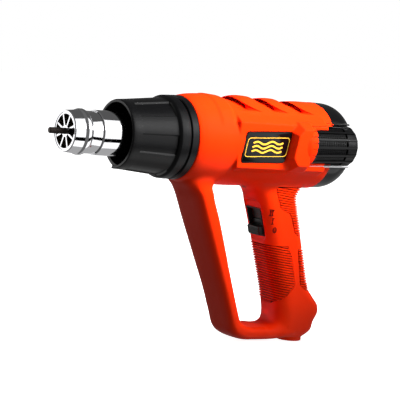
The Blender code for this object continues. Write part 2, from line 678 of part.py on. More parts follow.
def impeller():
    hub = tube(FAN_FRONT_X, FAN_REAR_X, 6.0, SHAFT_RADIUS + 0.1, 32)
    blades = []
    for index in range(FAN_BLADES):
        blade = box((FAN_FRONT_X + 1.0, -0.7, 4.9), (FAN_REAR_X - 0.4, 0.7, FAN_RADIUS))
        pitch = Matrix.Rotation(radians(18.0), 3, 'Z')
        moved(blade, (-32.0, 0, 0))
        moved(blade, (32.0, 0, 0), pitch)
        turn = Matrix.Rotation(2 * pi * (index + 0.3) / FAN_BLADES, 3, 'X')
        blades.append(('UNION', moved(blade, turn=turn)))
    plate = tube(FAN_REAR_X - 2.2, FAN_REAR_X - 0.8, FAN_RADIUS - 5.0, 5.2, 34)
    return combine(hub, [('UNION', plate)] + blades)


# ---------------------------------------------------------------- controls

def dial(root):
    """Ribbed temperature dial, turning with the potentiometer's shaft."""
    axis = empty("dial_axis", (DIAL_SEAT_X, DIAL_Y, DIAL_SEAT_Z), (0.0, -DIAL_RAKE, 0.0), root)
    body = [(12.0, 0.0), (12.0, 3.3), (0.0, 3.3), (0.0, 9.0), (1.6, 9.0), (1.6, 15.2),
            (0.0, 15.2), (0.0, 16.0), (0.8, 16.2), (DIAL_LENGTH - 8.0, DIAL_END_RADIUS - 0.9),
            (DIAL_LENGTH - 7.0, DIAL_END_RADIUS), (DIAL_LENGTH - 3.0, DIAL_END_RADIUS - 0.6),
            (DIAL_LENGTH, 13.0), (DIAL_LENGTH, 0.0)]
    steps = []
    for index in range(DIAL_RIBS):
        turn = Matrix.Rotation(2 * pi * (index + 0.5) / DIAL_RIBS, 3, 'X')
        steps.append(('UNION', moved(dial_rib(), turn=turn)))
    node("temperature_dial", combine(revolve(body, 48), steps), BLACK, axis)
    shaft = rod(-15.0, 11.6, POT_SHAFT_RADIUS, 24, 0.3)
    node("potentiometer_shaft", shaft, STEEL, axis)
    pot = tube(-13.0, -5.0, 8.5, POT_SHAFT_RADIUS + 0.08, 32)
    node("potentiometer", along_dial(pot), STEEL, root)


def dial_rib():
    """Grip rib along the dial's top, from its front edge to its end band."""
    loops = []
    for x, foot, crest in ((0.8, 14.5, DIAL_RADIUS), (DIAL_LENGTH - 3.4, 13.0, DIAL_END_RADIUS)):
        loops.append([(x, -1.2, foot), (x, 1.2, foot), (x, 1.0, crest), (x, -1.0, crest)])
    return loft(loops)


def slide_switch(root):
    """Three-position slide button and the carrier behind it."""
    place = switch_place()
    mover = empty("slide_axis", place, (0.0, -GRIP_RAKE, 0.0), root)
    sections = ((3.6, 0.0), (-1.2, 0.0), (-2.6, 0.9))
    corners = ((-1, -1), (1, -1), (1, 1), (-1, 1))
    cap = loft([[(x, y * (BUTTON_HALF_WIDTH - inset), z * (BUTTON_HALF_HEIGHT - inset))
                 for y, z in corners] for x, inset in sections])
    node("slide_button", cap, BLACK, mover)
    plate = box((3.9, -9.2, -6.0), (5.1, 9.2, 7.4))
    carrier = combine(plate, [('UNION', box((4.8, -2.0, -2.0), (8.2, 2.0, 2.0)))])
    node("switch_carrier", carrier, BLACK, mover)
    body = combine(box((5.6, -8.5, -10.0), (17.0, 8.5, 19.0)),
                   [('DIFFERENCE', box((3.0, -2.6, -2.6), (9.0, 2.6, 16.0)))])
    node("switch_body", on_switch(body), BLACK, root)


def electronics(root):
    board = box((92.0, 13.0, -22.0), (122.0, 14.6, 22.0))
    node("control_board", board, BOARD, root)
    sink = combine(box((96.0, 15.0, -16.0), (112.0, 17.0, 2.0)),
                   [('UNION', box((96.0 + 5.0 * i, 16.5, -16.0), (97.4 + 5.0 * i, 23.0, 2.0)))
                    for i in range(4)])
    node("heat_sink", sink, STEEL, root)
    can = moved(rod(0.0, 9.0, 4.5, 24, 0.5), (104.0, 14.9, 12.0), Matrix.Rotation(pi / 2, 3, 'Z'))
    node("capacitor", can, BLACK, root)
    block = box((112.0, -9.0, -120.0), (124.0, 9.0, -112.0))
    node("terminal_block", block, CERAMIC, root)


def cord_inlet(root):
    """Boss for the mains cord, below the heel of the grip, with the clamp inside."""
    upright = Matrix.Rotation(-pi / 2, 3, 'Y')
    profile = [(0.0, 5.0), (0.0, BOSS_RADIUS - 1.2), (1.0, BOSS_RADIUS),
               (BOSS_HEIGHT, BOSS_RADIUS), (BOSS_HEIGHT, 5.0)]
    boss = moved(revolve(profile, 32, closed=True), (BOSS_X, 0.0, FOOT_Z), upright)
    node("cord_boss", boss, RED, root)
    clamp = combine(box((120.0, -8.0, -136.0), (134.0, 8.0, -132.0)),
                    [('DIFFERENCE', moved(rod(-20.0, 20.0, 3.6, 20), (127.0, 0.0, -137.0)))])
    node("cord_clamp", clamp, BLACK, root)


def fasteners(root):
    """Housing screws, driven from the right side."""
    head = [(-19.0, 0.0), (-19.0, 1.2), (0.0, 1.5), (0.0, 3.0),
            (1.6, 2.8), (2.2, 2.2), (2.2, 1.2), (1.0, 0.0)]
    shared = revolve(head, 12)
    for index, (x, z) in enumerate(SCREWS, start=1):
        name = "housing_screw_%d" % index
        node(name, shared, STEEL, root, (x, SCREW_HEAD_Y + GAP, z), (0.0, 0.0, pi / 2))


def build():
    clear_scene()
    shift = (-(ROD_TIP_X + CAP_REAR_X) / 2, -(POD_OUTER_Y + BODY_RIGHT_Y) / 2, -FOOT_Z)
    root = empty("frame_origin", shift)
    shells(root)
    collar(root)
    rear_cap(root)
    nameplate(root)
    nozzle(root)
    heater(root)
    blower(root)
    dial(root)
    slide_switch(root)
    electronics(root)
    cord_inlet(root)
    fasteners(root)


build()
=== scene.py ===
"""Looks of a corded hot-air gun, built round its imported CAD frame.

Lengths in the tables are millimetres in the barrel's own frame: X runs along the barrel
towards the back, Y to the tool's right side, Z up, with X = 0 at the seam between the
black collar and the red housing. ORIGIN puts that frame where the CAD says it is.
"""

import json
from math import cos, pi, radians, sin, sqrt, tan

import bmesh
import bpy
import numpy as np
from mathutils import Matrix, Vector


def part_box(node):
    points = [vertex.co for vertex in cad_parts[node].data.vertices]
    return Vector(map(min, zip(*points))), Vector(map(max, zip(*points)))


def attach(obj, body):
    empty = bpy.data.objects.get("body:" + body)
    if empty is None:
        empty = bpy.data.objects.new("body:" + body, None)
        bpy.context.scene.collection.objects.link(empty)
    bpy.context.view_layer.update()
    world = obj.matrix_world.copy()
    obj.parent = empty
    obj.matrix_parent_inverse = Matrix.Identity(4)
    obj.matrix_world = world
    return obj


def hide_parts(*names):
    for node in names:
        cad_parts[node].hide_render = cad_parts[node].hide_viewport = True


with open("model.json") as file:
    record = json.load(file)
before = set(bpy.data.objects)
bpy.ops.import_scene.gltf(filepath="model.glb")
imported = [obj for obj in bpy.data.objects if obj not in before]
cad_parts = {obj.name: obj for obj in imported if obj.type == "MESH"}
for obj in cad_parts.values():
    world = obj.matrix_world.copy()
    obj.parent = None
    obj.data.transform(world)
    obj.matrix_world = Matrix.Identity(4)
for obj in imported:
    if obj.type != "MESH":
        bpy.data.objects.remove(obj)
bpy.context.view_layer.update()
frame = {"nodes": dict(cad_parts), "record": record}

MM = 0.001
SPIGOT_LENGTH = 8.0
tube_low, tube_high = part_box("nozzle_tube")
ORIGIN = Vector((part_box("front_collar")[1].x - SPIGOT_LENGTH * MM,
                 (tube_low.y + tube_high.y) / 2, (tube_low.z + tube_high.z) / 2))

WALL = 2.5
# How far each housing half stops short of the middle plane
PARTING_GAP = 0.02
FINE_VOXEL = 0.75
VOXEL = FINE_VOXEL

# Barrel
BODY_PROFILE = [(0.0, 32.7), (4.0, 33.9), (10.0, 34.8), (20.0, 35.4), (34.0, 35.5), (50.0, 35.9),
                (62.0, 35.6), (84.0, 35.5), (105.0, 35.2), (127.7, 35.1)]
BODY_REAR_X = 127.7
BODY_RADIUS = 35.6
BAND_RISE = 0.8
# Hollow of the barrel: wide at both seats, narrower under the intake slots
CAVITY_PROFILE = [(-5.0, 0.0), (-5.0, 30.0), (8.3, 30.0), (8.3, 32.1), (41.0, 32.1),
                  (44.0, 29.2), (124.0, 29.2), (125.0, 32.1), (BODY_REAR_X + 5.0, 32.1),
                  (BODY_REAR_X + 5.0, 0.0)]
PANEL_Y = 34.9
PANEL_FRONT_X = 36.0
PANEL_REAR_X = 121.5
# Intake slots on top: ridge x and rise, fin lip x and rise, floor rise; rises are over BODY_RADIUS
LOUVERS = [(34.0, -1.3, 47.5, -1.3, -4.6), (62.0, 0.4, 75.5, -1.3, -4.6),
           (88.0, -0.3, 103.0, -1.8, -5.4)]
LOUVER_HALF_ANGLE = radians(44.0)
RIDGE_SWEEP = 9.5
LIP_SWEEP = 15.0
UNDERCUT = 13.0
# How far the top line stands over the barrel's profile, along X
TOP_LINE = [(18.0, 0.0), (26.0, -0.7), (34.0, -1.3), (41.0, -1.8), (45.5, -2.0), (47.0, -1.1),
            (51.0, -0.1), (55.0, 0.3), (60.0, 0.3), (66.0, -0.1), (73.5, -0.9), (75.0, -1.0),
            (79.0, -0.4), (84.0, -0.1), (88.0, -0.2), (95.0, -1.0), (101.0, -1.7), (103.0, -1.5),
            (108.0, -1.0), (114.0, -0.7), (127.7, -0.7), (131.0, -0.7)]

# Temperature dial and its pod
DIAL_RAKE = radians(1.6)
DIAL_SEAT = Vector((103.0, -25.4, 1.4))
DIAL_LENGTH = 47.4
DIAL_RADIUS = 17.3
DIAL_RIBS = 16
# Degrees from the start of one rib's share of the dial to its end
DIAL_SECTORS = [(0.0, 3.0, "rib"), (3.0, 4.8, "edge"), (4.8, 8.0, "hole"), (8.0, 9.6, "bar"),
                (9.6, 12.8, "hole"), (12.8, 14.4, "bar"), (14.4, 17.6, "hole"),
                (17.6, 19.5, "edge"), (19.5, 22.5, "rib")]
# Rounded rear end of the dial: x, radius on a rib, radius between ribs
DIAL_END = [(45.4, 16.0, 15.7), (46.6, 14.9, 14.7), (47.4, 13.2, 13.2)]
LATTICE_START = 6.2
LATTICE_END = 34.8
LATTICE_PITCH = 1.85
LATTICE_BAR = 0.7
POCKET_RADIUS = 18.5
# Rear end, along the dial, of the chrome strips that paint highlights in its pocket
POCKET_HIGHLIGHT_STRIP_END = 43.5
POD_RADIUS = 19.4
POD_RIM = 2.6
POD_NOTCHES = 24
POD_OUTER_Y = -44.5
POD_MIDDLE = (96.0, 0.5)
POD_BASE = [(81.0, -11.0), (85.2, 12.8), (92.0, 19.8), (104.0, 20.2), (102.0, -19.6), (87.0, -19.2)]

# Collar, nozzle and nameplate
COLLAR_PANEL = (-48.0, -17.4)
COLLAR_PANEL_DEPTH = 1.1
SPOKES = 8
PLATE_BACK_Y = -33.6
PLATE_FACE_Y = -35.5
PRINT_BACK_Y = -35.3
PLATE_MIDDLE = (62.8, -0.9)
PLATE_LEAN = tan(radians(10.0))
PLATE_RISE = 0.043

# Grip and switch
GRIP_RAKE = radians(18.6)
SWITCH_Z = -70.2
SLIDE_TRAVEL = 13.4
BUTTON_HALF_WIDTH = 8.1
BUTTON_HALF_HEIGHT = 3.9
# Y of the inner and outer faces of the switch marks
MARK_FACES = (-17.3, -17.75)
BOSS_X = 131.5
FOOT_Z = -160.1

# Side view of the grip: height, front, back, half width
GRIP_ROWS = [(-20.0, 58.0, 128.0, 17.0), (-33.0, 69.0, 121.0, 17.0), (-41.0, 75.8, 116.5, 17.3),
             (-50.0, 79.2, 118.0, 17.5), (-80.0, 90.2, 127.2, 17.5), (-112.0, 101.3, 136.6, 17.5),
             (-121.0, 104.3, 142.5, 17.6), (-129.0, 106.4, 149.6, 17.9),
             (-136.0, 108.0, 150.8, 17.9), (-143.0, 108.0, 147.4, 17.7),
             (-150.0, 107.0, 145.6, 17.4), (-155.5, 106.0, 139.0, 16.0)]

# Guard and bottom bar: outer x, z, inner x, z, half width, inner edge bevel
GUARD_ROWS = [(1.0, -24.0, 24.0, -22.0, 20.0, 2.0), (4.4, -33.4, 27.8, -33.0, 20.0, 2.0),
              (13.2, -43.0, 29.4, -44.0, 20.4, 2.0), (21.9, -61.9, 37.2, -61.9, 20.0, 2.0),
              (30.9, -80.9, 44.8, -80.9, 19.2, 2.0), (40.0, -100.1, 52.4, -100.1, 18.2, 2.0),
              (49.2, -119.4, 60.2, -119.4, 17.4, 2.2), (57.0, -138.0, 67.2, -136.6, 17.2, 2.6),
              (61.6, -149.4, 70.0, -142.4, 17.4, 3.0), (67.0, -155.0, 74.0, -145.6, 17.8, 3.4),
              (75.0, -158.0, 79.6, -147.0, 18.0, 3.6), (85.0, -158.4, 85.0, -147.4, 18.0, 3.6),
              (106.0, -158.0, 104.0, -147.0, 18.0, 3.6), (124.0, -155.6, 124.0, -146.6, 17.6, 3.0)]

# Ribbed pads of the grip: rows of height, first x and last x, and the edge a pad runs round
RIB_PITCH = 2.05
RIB_CREST = 0.65
RIB_GROOVE = -1.1
RIB_ZONES = [("grip_ribs_front", [(-81.8, 88.0, 108.0), (-85.5, 90.0, 109.8), (-87.9, 90.0, 112.2),
                                  (-112.7, 96.0, 118.9), (-123.0, 96.0, 110.9),
                                  (-129.0, 96.0, 104.0)], "front"),
             ("grip_ribs_back_upper", [(-34.0, 91.6, 130.0), (-36.0, 90.6, 130.0),
                                       (-50.2, 96.6, 130.0), (-54.6, 106.3, 130.0),
                                       (-58.8, 109.0, 130.0), (-70.8, 113.5, 130.0),
                                       (-72.4, 118.2, 130.0)], "back"),
             ("grip_ribs_back_lower", [(-83.8, 118.8, 140.0), (-112.7, 124.8, 140.0),
                                       (-116.9, 132.0, 140.0)], "back")]

# Camera, in millimetres
CAMERA_YAW = radians(35.406)
CAMERA_DROP = radians(5.5)
CAMERA_ROLL = radians(5.953)
CAMERA_DISTANCE = 1600.0
CAMERA_TARGET = Vector((29.2, 0.0, -48.27))
CAMERA_LENS = 183.44

# Floor, backdrop and lights, in metres
WHITE = (1.0, 1.0, 1.0, 1.0)
PALE = (0.9, 0.9, 0.9)
UNLIT = (0.0, 0.0, 0.0)
SKY_GLOW = 0.14
FLOOR_GLOW = 0.95
FLOOR_REACH = 4.0
BACKDROP_REACH = 9.0
LIT_MIDDLE = Vector((0.0, 0.0, 0.16))
KEY_DIRECTION = Vector((0.577, -0.668, 0.468))
KEY_DISTANCE = 1.3
KEY_POWER = 130.0
KEY_FLAG = [(-0.5, -0.9, 0.0), (1.1, 0.3, 0.0), (1.1, 0.3, 0.365), (-0.5, -0.9, 0.365)]
# Sheet that the nozzle's end face reflects
CARD_BEHIND = [(-1.5, 0.35, -0.6), (-0.35, 1.4, -0.6), (-0.35, 1.4, 0.75), (-1.5, 0.35, 0.75)]
# Reflected cards: start and end in degrees up from the left side, glow, reach
CARDS = {"card_front": (-22, 73, 1.3, 1.2), "card_top": (73, 151, 0.10, 1.2),
         "card_gap": (-41, -22, 0.0, 1.2), "card_low": (-76, -41, 1.3, 1.2),
         "card_under": (-176, -76, 0.42, 1.2), "card_bright": (20, 50, 4.0, 1.15)}


# ------------------------------ materials

def node_of(tree, kind, **inputs):
    """New shader node; an input's name is written with underscores for blanks."""
    made = tree.nodes.new(kind)
    for name, value in inputs.items():
        made.inputs[name.replace("_", " ")].default_value = value
    return made


def surface(name, colour, rough, metallic=0.0, tint=0.12, spread=0.06, grain=900.0, bump=0.06,
            patch=14.0, specular=0.5):
    """Moulded or metal surface: soft colour drift, uneven gloss and a fine grain."""
    made = bpy.data.materials.new(name)
    made.use_nodes = True
    tree = made.node_tree
    shader = tree.nodes["Principled BSDF"]
    place = tree.nodes.new("ShaderNodeTexCoord")
    drift = node_of(tree, "ShaderNodeTexNoise", Scale=patch, Detail=4.0)
    fine = node_of(tree, "ShaderNodeTexNoise", Scale=grain, Detail=2.0)
    tree.links.new(place.outputs["Object"], drift.inputs["Vector"])
    tree.links.new(place.outputs["Object"], fine.inputs["Vector"])
    ramp = tree.nodes.new("ShaderNodeValToRGB")
    ramp.color_ramp.elements[0].position = 0.3
    ramp.color_ramp.elements[1].position = 0.7
    ramp.color_ramp.elements[0].color = (*[c * (1 - tint) for c in colour], 1.0)
    ramp.color_ramp.elements[1].color = (*[min(1.0, c * (1 + tint)) for c in colour], 1.0)
    tree.links.new(drift.outputs["Fac"], ramp.inputs["Fac"])
    tree.links.new(ramp.outputs["Color"], shader.inputs["Base Color"])
    gloss = node_of(tree, "ShaderNodeMapRange", From_Min=0.3, From_Max=0.7,
                    To_Min=max(0.02, rough - spread), To_Max=rough + spread)
    tree.links.new(fine.outputs["Fac"], gloss.inputs["Value"])
    tree.links.new(gloss.outputs["Result"], shader.inputs["Roughness"])
    relief = node_of(tree, "ShaderNodeBump", Strength=bump, Distance=0.0004)
    tree.links.new(fine.outputs["Fac"], relief.inputs["Height"])
    tree.links.new(relief.outputs["Normal"], shader.inputs["Normal"])
    shader.inputs["Metallic"].default_value = metallic
    shader.inputs["Specular IOR Level"].default_value = specular
    return made


RED = surface("red_abs_moulded", (0.84, 0.026, 0.001), 0.46, tint=0.05, spread=0.05,
              grain=1500.0, bump=0.05, patch=9.0, specular=0.08)
# Dark red: the switch marks' own colour, and painted shade on the sheets that show in the grip's rib
# grooves
DARK_RED = surface("red_abs_marks_and_painted_groove_shade", (0.03, 0.0006, 0.0003), 0.6, bump=0.05, specular=0.1)
BLACK = surface("black_satin_plastic", (0.0015, 0.0015, 0.0017), 0.34, spread=0.06, grain=1800.0,
                bump=0.10, specular=0.24)
GLOSS_BLACK = surface("black_gloss_plastic", (0.0018, 0.0018, 0.002), 0.16, spread=0.03,
                      bump=0.02, patch=20.0, specular=0.3)
MATT_BLACK = surface("black_matt_plastic", (0.004, 0.004, 0.004), 0.6, bump=0.10)
CHROME = surface("polished_chrome", (0.86, 0.86, 0.88), 0.07, metallic=1.0, tint=0.02,
                 spread=0.03, grain=260.0, bump=0.015)
STEEL = surface("plain_steel", (0.45, 0.45, 0.47), 0.34, metallic=1.0, grain=700.0)
DARK_STEEL = surface("oxidised_steel_rod", (0.045, 0.036, 0.032), 0.42, metallic=0.8, grain=500.0,
                     bump=0.2)
GOLD = surface("gold_foil", (0.95, 0.50, 0.04), 0.32, metallic=0.35, tint=0.08, grain=1200.0)
MICA = surface("mica_sheet", (0.52, 0.42, 0.28), 0.6, grain=400.0, bump=0.2)
CERAMIC = surface("heater_ceramic", (0.72, 0.69, 0.62), 0.55, grain=600.0, bump=0.15)
BRASS = surface("turned_brass", (0.62, 0.42, 0.15), 0.3, metallic=1.0)
BOARD = surface("solder_mask", (0.02, 0.13, 0.05), 0.4, grain=500.0)

SLOT_FINISH = {"red_abs": RED, "black_plastic": BLACK, "gloss_black_plastic": GLOSS_BLACK,
               "chrome": CHROME, "steel": STEEL, "oxidised_steel": DARK_STEEL, "gold_print": GOLD,
               "mica": MICA, "ceramic": CERAMIC, "brass": BRASS, "circuit_board": BOARD}


def finish_cad_nodes():
    """Give each CAD node the finish of its material slot."""
    for part in frame["record"]["subparts"]:
        item = frame["nodes"][part["node"]]
        item.data.materials.clear()
        item.data.materials.append(SLOT_FINISH[part["material_slot"]])


# ------------------------------ mesh helpers

def mesh_of(bm, name="piece"):
    """Finish a bmesh whose coordinates are millimetres."""
    bmesh.ops.recalc_face_normals(bm, faces=bm.faces)
    mesh = bpy.data.meshes.new(name)
    bm.to_mesh(mesh)
    bm.free()
    return mesh


def piece(name, mesh, finish, body, replaces=(), sharp=38.0):
    """Put a millimetre mesh in place as a piece that rides on a body."""
    mesh.transform(Matrix.Translation(ORIGIN) @ Matrix.Scale(MM, 4))
    mesh.materials.clear()
    mesh.materials.append(finish)
    mesh.shade_smooth()
    if sharp:
        mesh.set_sharp_from_angle(angle=radians(sharp))
    made = bpy.data.objects.new(name, mesh)
    bpy.context.scene.collection.objects.link(made)
    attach(made, body)
    if replaces:
        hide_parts(*replaces)
    return made


def evaluated_mesh(item):
    """The object's mesh with its modifiers applied."""
    bpy.context.view_layer.update()
    graph = bpy.context.evaluated_depsgraph_get()
    return bpy.data.meshes.new_from_object(item.evaluated_get(graph))


def combine(base, steps):
    """Apply Boolean steps, pairs of (operation, mesh), and return one mesh."""
    body = bpy.data.objects.new("combine_body", base)
    helpers = [body]
    bpy.context.scene.collection.objects.link(body)
    for operation, mesh in steps:
        cutter = bpy.data.objects.new("combine_cutter", mesh)
        bpy.context.scene.collection.objects.link(cutter)
        helpers.append(cutter)
        step = body.modifiers.new(operation, 'BOOLEAN')
        step.operation = operation
        step.solver = 'EXACT'
        step.object = cutter
    result = evaluated_mesh(body)
    for item in helpers:
        bpy.data.objects.remove(item, do_unlink=True)
    return result


def remeshed(mesh, voxel):
    """One even skin round everything in a mesh."""
    item = bpy.data.objects.new("remesh_body", mesh)
    bpy.context.scene.collection.objects.link(item)
    step = item.modifiers.new("skin", 'REMESH')
    step.mode = 'VOXEL'
    step.voxel_size = voxel
    result = evaluated_mesh(item)
    bpy.data.objects.remove(item, do_unlink=True)
    return result


def points_of(mesh):
    flat = np.zeros(len(mesh.vertices) * 3)
    mesh.vertices.foreach_get("co", flat)
    return flat.reshape(-1, 3)


def relax(mesh, weight, rounds):
    """Move vertices towards their neighbours' mean, by weight, to round and blend."""
    points = points_of(mesh)
    ends = np.zeros(len(mesh.edges) * 2, dtype=np.int64)
    mesh.edges.foreach_get("vertices", ends)
    first, second = ends.reshape(-1, 2).T
    count = len(points)
    degree = np.bincount(first, minlength=count) + np.bincount(second, minlength=count)
    share = (0.5 * weight / np.maximum(degree, 1))[:, None]
    for _ in range(rounds):
        total = np.stack([np.bincount(first, points[second, k], count)
                          + np.bincount(second, points[first, k], count)
                          for k in range(3)], axis=1)
        points += share * (total - degree[:, None] * points)
    mesh.vertices.foreach_set("co", points.ravel())
    mesh.update()


def revolve(profile, segments=96, closed=False, shape=None):
    """Turn (x, radius) points about the X axis; shape(x, radius, angle) may change a radius.

    The angle runs from the top towards the right side.
    """
    bm = bmesh.new()
    rings = []
    for x, radius in profile:
        if radius == 0.0:
            rings.append([bm.verts.new((x, 0.0, 0.0))])
            continue
        ring = []
        for index in range(segments):
            angle = 2 * pi * index / segments
            reach = radius if shape is None else shape(x, radius, angle)
            ring.append(bm.verts.new((x, reach * sin(angle), reach * cos(angle))))
        rings.append(ring)
    pairs = list(zip(rings, rings[1:]))
    if closed:
        pairs.append((rings[-1], rings[0]))
    for first, second in pairs:
        for i in range(segments):
            j = (i + 1) % segments
            corners = [first[i % len(first)], first[j % len(first)],
                       second[j % len(second)], second[i % len(second)]]
            bm.faces.new(list(dict.fromkeys(corners)))
    return mesh_of(bm)


def rod(x0, x1, radius, segments=48):
    """Solid cylinder about X."""
    return revolve([(x0, 0.0), (x0, radius), (x1, radius), (x1, 0.0)], segments)


def tube(x0, x1, outer, inner, segments=72):
    """Hollow cylinder about X."""
    profile = [(x0, inner), (x0, outer), (x1, outer), (x1, inner)]
    return revolve(profile, segments, closed=True)


def moved(mesh, place=(0, 0, 0), turn=None):
    """Turn a mesh, then carry it to a place."""
    matrix = Matrix.Translation(Vector(place))
    if turn is not None:
        matrix = matrix @ turn.to_4x4()
    mesh.transform(matrix)
    return mesh


def loft(loops, caps=True, wrap=False):
    """Skin a row of loops with equal numbers of points."""
    bm = bmesh.new()
    rows = [[bm.verts.new(point) for point in loop] for loop in loops]
    count = len(rows[0])
    pairs = list(zip(rows, rows[1:]))
    if wrap:
        pairs.append((rows[-1], rows[0]))
    for first, second in pairs:
        for i in range(count):
            j = (i + 1) % count
            bm.faces.new((first[i], first[j], second[j], second[i]))
    if caps and not wrap:
        bm.faces.new(rows[0])
        bm.faces.new(rows[-1])
    return mesh_of(bm)


def box(low, high):
    """Box between two opposite corners."""
    (x0, y0, z0), (x1, y1, z1) = low, high
    return loft([[(x, y0, z0), (x, y1, z0), (x, y1, z1), (x, y0, z1)] for x in (x0, x1)])


def prism(outline, y0, y1, bevel=0.0):
    """Extrude an (x, z) outline along Y from y0 to y1, with a small bevel at y1."""
    loops = [[(x, y0, z) for x, z in outline]]
    if bevel:
        middle = [sum(p[k] for p in outline) / len(outline) for k in (0, 1)]
        reach = max(sqrt((x - middle[0]) ** 2 + (z - middle[1]) ** 2) for x, z in outline)
        step = bevel if y1 > y0 else -bevel
        small = [(middle[0] + (x - middle[0]) * (1 - bevel / reach * 1.4),
                  middle[1] + (z - middle[1]) * (1 - bevel / reach * 1.4)) for x, z in outline]
        loops += [[(x, y1 - step, z) for x, z in outline], [(x, y1, z) for x, z in small]]
    else:
        loops.append([(x, y1, z) for x, z in outline])
    return loft(loops)


def joined(meshes):
    """Several closed meshes as one mesh."""
    bm = bmesh.new()
    for mesh in meshes:
        bm.from_mesh(mesh)
    result = bpy.data.meshes.new("joined")
    bm.to_mesh(result)
    bm.free()
    return result


def rounded_rectangle(length, width, radius, steps=6):
    """Outline round the origin, with round corners."""
    points = []
    for corner, (su, sv) in enumerate(((1, 1), (-1, 1), (-1, -1), (1, -1))):
        for step in range(steps + 1):
            angle = pi / 2 * (corner + step / steps)
            points.append((su * (length / 2 - radius) + radius * cos(angle),
                           sv * (width / 2 - radius) + radius * sin(angle)))
    return points


def rounded_polygon(corners, radius, steps=6):
    """Replace each corner of a polygon by a short curve."""
    points = []
    count = len(corners)
    for index, corner in enumerate(corners):
        here = Vector(corner)
        before, after = Vector(corners[index - 1]), Vector(corners[(index + 1) % count])
        start = here + (before - here).normalized() * radius
        end = here + (after - here).normalized() * radius
        for step in range(steps + 1):
            t = step / steps
            points.append(tuple(start * (1 - t) ** 2 + here * 2 * t * (1 - t) + end * t ** 2))
    return points


def spline_rows(rows, per_span=6):
    """Catmull-Rom rows through the given ones."""
    data = np.array(rows, float)
    padded = np.vstack([2 * data[0] - data[1], data, 2 * data[-1] - data[-2]])
    result = []
    for i in range(1, len(padded) - 2):
        p0, p1, p2, p3 = padded[i - 1:i + 3]
        for step in range(per_span):
            t = step / per_span
            result.append(0.5 * (2 * p1 + (p2 - p0) * t + (2 * p0 - 5 * p1 + 4 * p2 - p3) * t ** 2
                                 + (3 * p1 - p0 - 3 * p2 + p3) * t ** 3))
    return result + [data[-1]]


def smooth_step(value, low, high):
    """Ease from 0 at low to 1 at high, for a number or an array."""
    share = np.clip((value - low) / (high - low), 0.0, 1.0)
    return share * share * (3 - 2 * share)


def along_dial(mesh):
    """Put a mesh that was turned about X on the dial's raked axis."""
    return moved(mesh, DIAL_SEAT, Matrix.Rotation(-DIAL_RAKE, 3, 'Y'))


# ------------------------------ housing

def barrel_shape(x, radius, angle):
    """A raised band behind the collar, and the crowned backs of the three fins."""
    turn = abs((angle + pi) % (2 * pi) - pi)
    fade = 1 - smooth_step(turn, radians(58), radians(72))
    front = smooth_step(x, 19.0, 21.5)
    back = smooth_step(x, 29.5 + 3.0 * cos(turn), 32.0 + 3.0 * cos(turn))
    share = min(1.0, turn / LOUVER_HALF_ANGLE)
    along = x - LIP_SWEEP * share ** 4 * smooth_step(x, 36.0, 44.0)
    line = float(np.interp(along, *zip(*TOP_LINE)))
    return radius + BAND_RISE * front * (1 - back) * fade + (1 - share ** 2) * line


def louver_cut(ridge_x, ridge_rise, lip_x, lip_rise, floor_rise, sections=33):
    """Swept intake slot: it slopes down behind a ridge and runs in under the next fin's lip."""
    loops = []
    for index in range(sections):
        share = 2 * index / (sections - 1) - 1
        angle = LOUVER_HALF_ANGLE * share
        fade = 1 - share ** 6
        ridge = ridge_x + RIDGE_SWEEP * abs(share) ** 3
        lip = lip_x + LIP_SWEEP * share ** 4
        foot = lip + UNDERCUT - (UNDERCUT + 2.0) * smooth_step(abs(share), 0.42, 0.8)
        under = max(lip + 0.3, foot - 4.0)
        outline = [(ridge - 2.0, 3.0), (ridge, ridge_rise * fade),
                   (min(lip, foot) - 4.0, 0.8 * floor_rise * fade),
                   (foot - 0.6, (floor_rise - 0.4) * fade), (foot + 0.4, (floor_rise + 0.9) * fade),
                   (under, (lip_rise - 0.3) * fade), (lip, lip_rise * fade), (lip - 1.2, 3.0)]
        loops.append([(x, (BODY_RADIUS + rise) * sin(angle), (BODY_RADIUS + rise) * cos(angle))
                      for x, rise in outline])
    return loft(loops)


def side_panel(side):
    """Flat flank of the barrel, sunk into it at both ends; side is -1 left, 1 right."""
    section = [(24.0, 25.4), (PANEL_Y, 17.6), (PANEL_Y, -18.0), (27.0, -22.6), (20.0, 0.0)]
    sunk = [(24.0, 20.0), (30.0, 16.0), (30.0, -16.0), (26.0, -18.0), (20.0, 0.0)]
    loops = []
    for x, outline in ((PANEL_FRONT_X - 2.0, sunk), (PANEL_FRONT_X, section),
                       (PANEL_REAR_X, section), (PANEL_REAR_X + 5.0, sunk)):
        loops.append([(x, side * y, z) for y, z in outline])
    return loft(loops)


def grip_outline(front, back, half, inset=0.0, steps=10):
    """Cross-section of the grip, as (x, y) points."""
    radius = min(12.0, half - 4.0) - inset
    return [((front + back) / 2 + u, v)
            for u, v in rounded_rectangle(back - front - 2 * inset, 2 * (half - inset), radius, steps)]


def grip_solid(inset=0.0, top=-20.0, bottom=-155.5, per_span=6):
    """The grip between two heights, shrunk all round by inset."""
    loops = []
    for z, front, back, half in spline_rows(GRIP_ROWS, per_span):
        if bottom <= z <= top:
            loops.append([(x, y, z) for x, y in grip_outline(front, back, half, inset)])
    return loft(loops)


def guard_loop(outer_x, outer_z, inner_x, inner_z, half, bevel, steps=16):
    """One cross-section: flat inside face, straight sides and a crowned outer face."""
    across = Vector((outer_x - inner_x, outer_z - inner_z))
    thickness = across.length
    across.normalize()
    points = [(bevel, half), (0.3 * bevel, half - 0.3 * bevel), (0.0, half - bevel),
              (0.0, bevel - half), (0.3 * bevel, 0.3 * bevel - half), (bevel, -half)]
    side = 0.5 * thickness
    for step in range(steps + 1):
        angle = pi * step / steps
        width = -half * (1 if cos(angle) >= 0 else -1) * abs(cos(angle)) ** 0.55
        points.append((side + (thickness - side) * sin(angle) ** 0.8, width))
    return [(inner_x + across.x * t, y, inner_z + across.y * t) for t, y in points]


def guard_solid():
    """Hand guard and bottom bar in one sweep."""
    return loft([guard_loop(*row) for row in spline_rows(GUARD_ROWS, 5)])


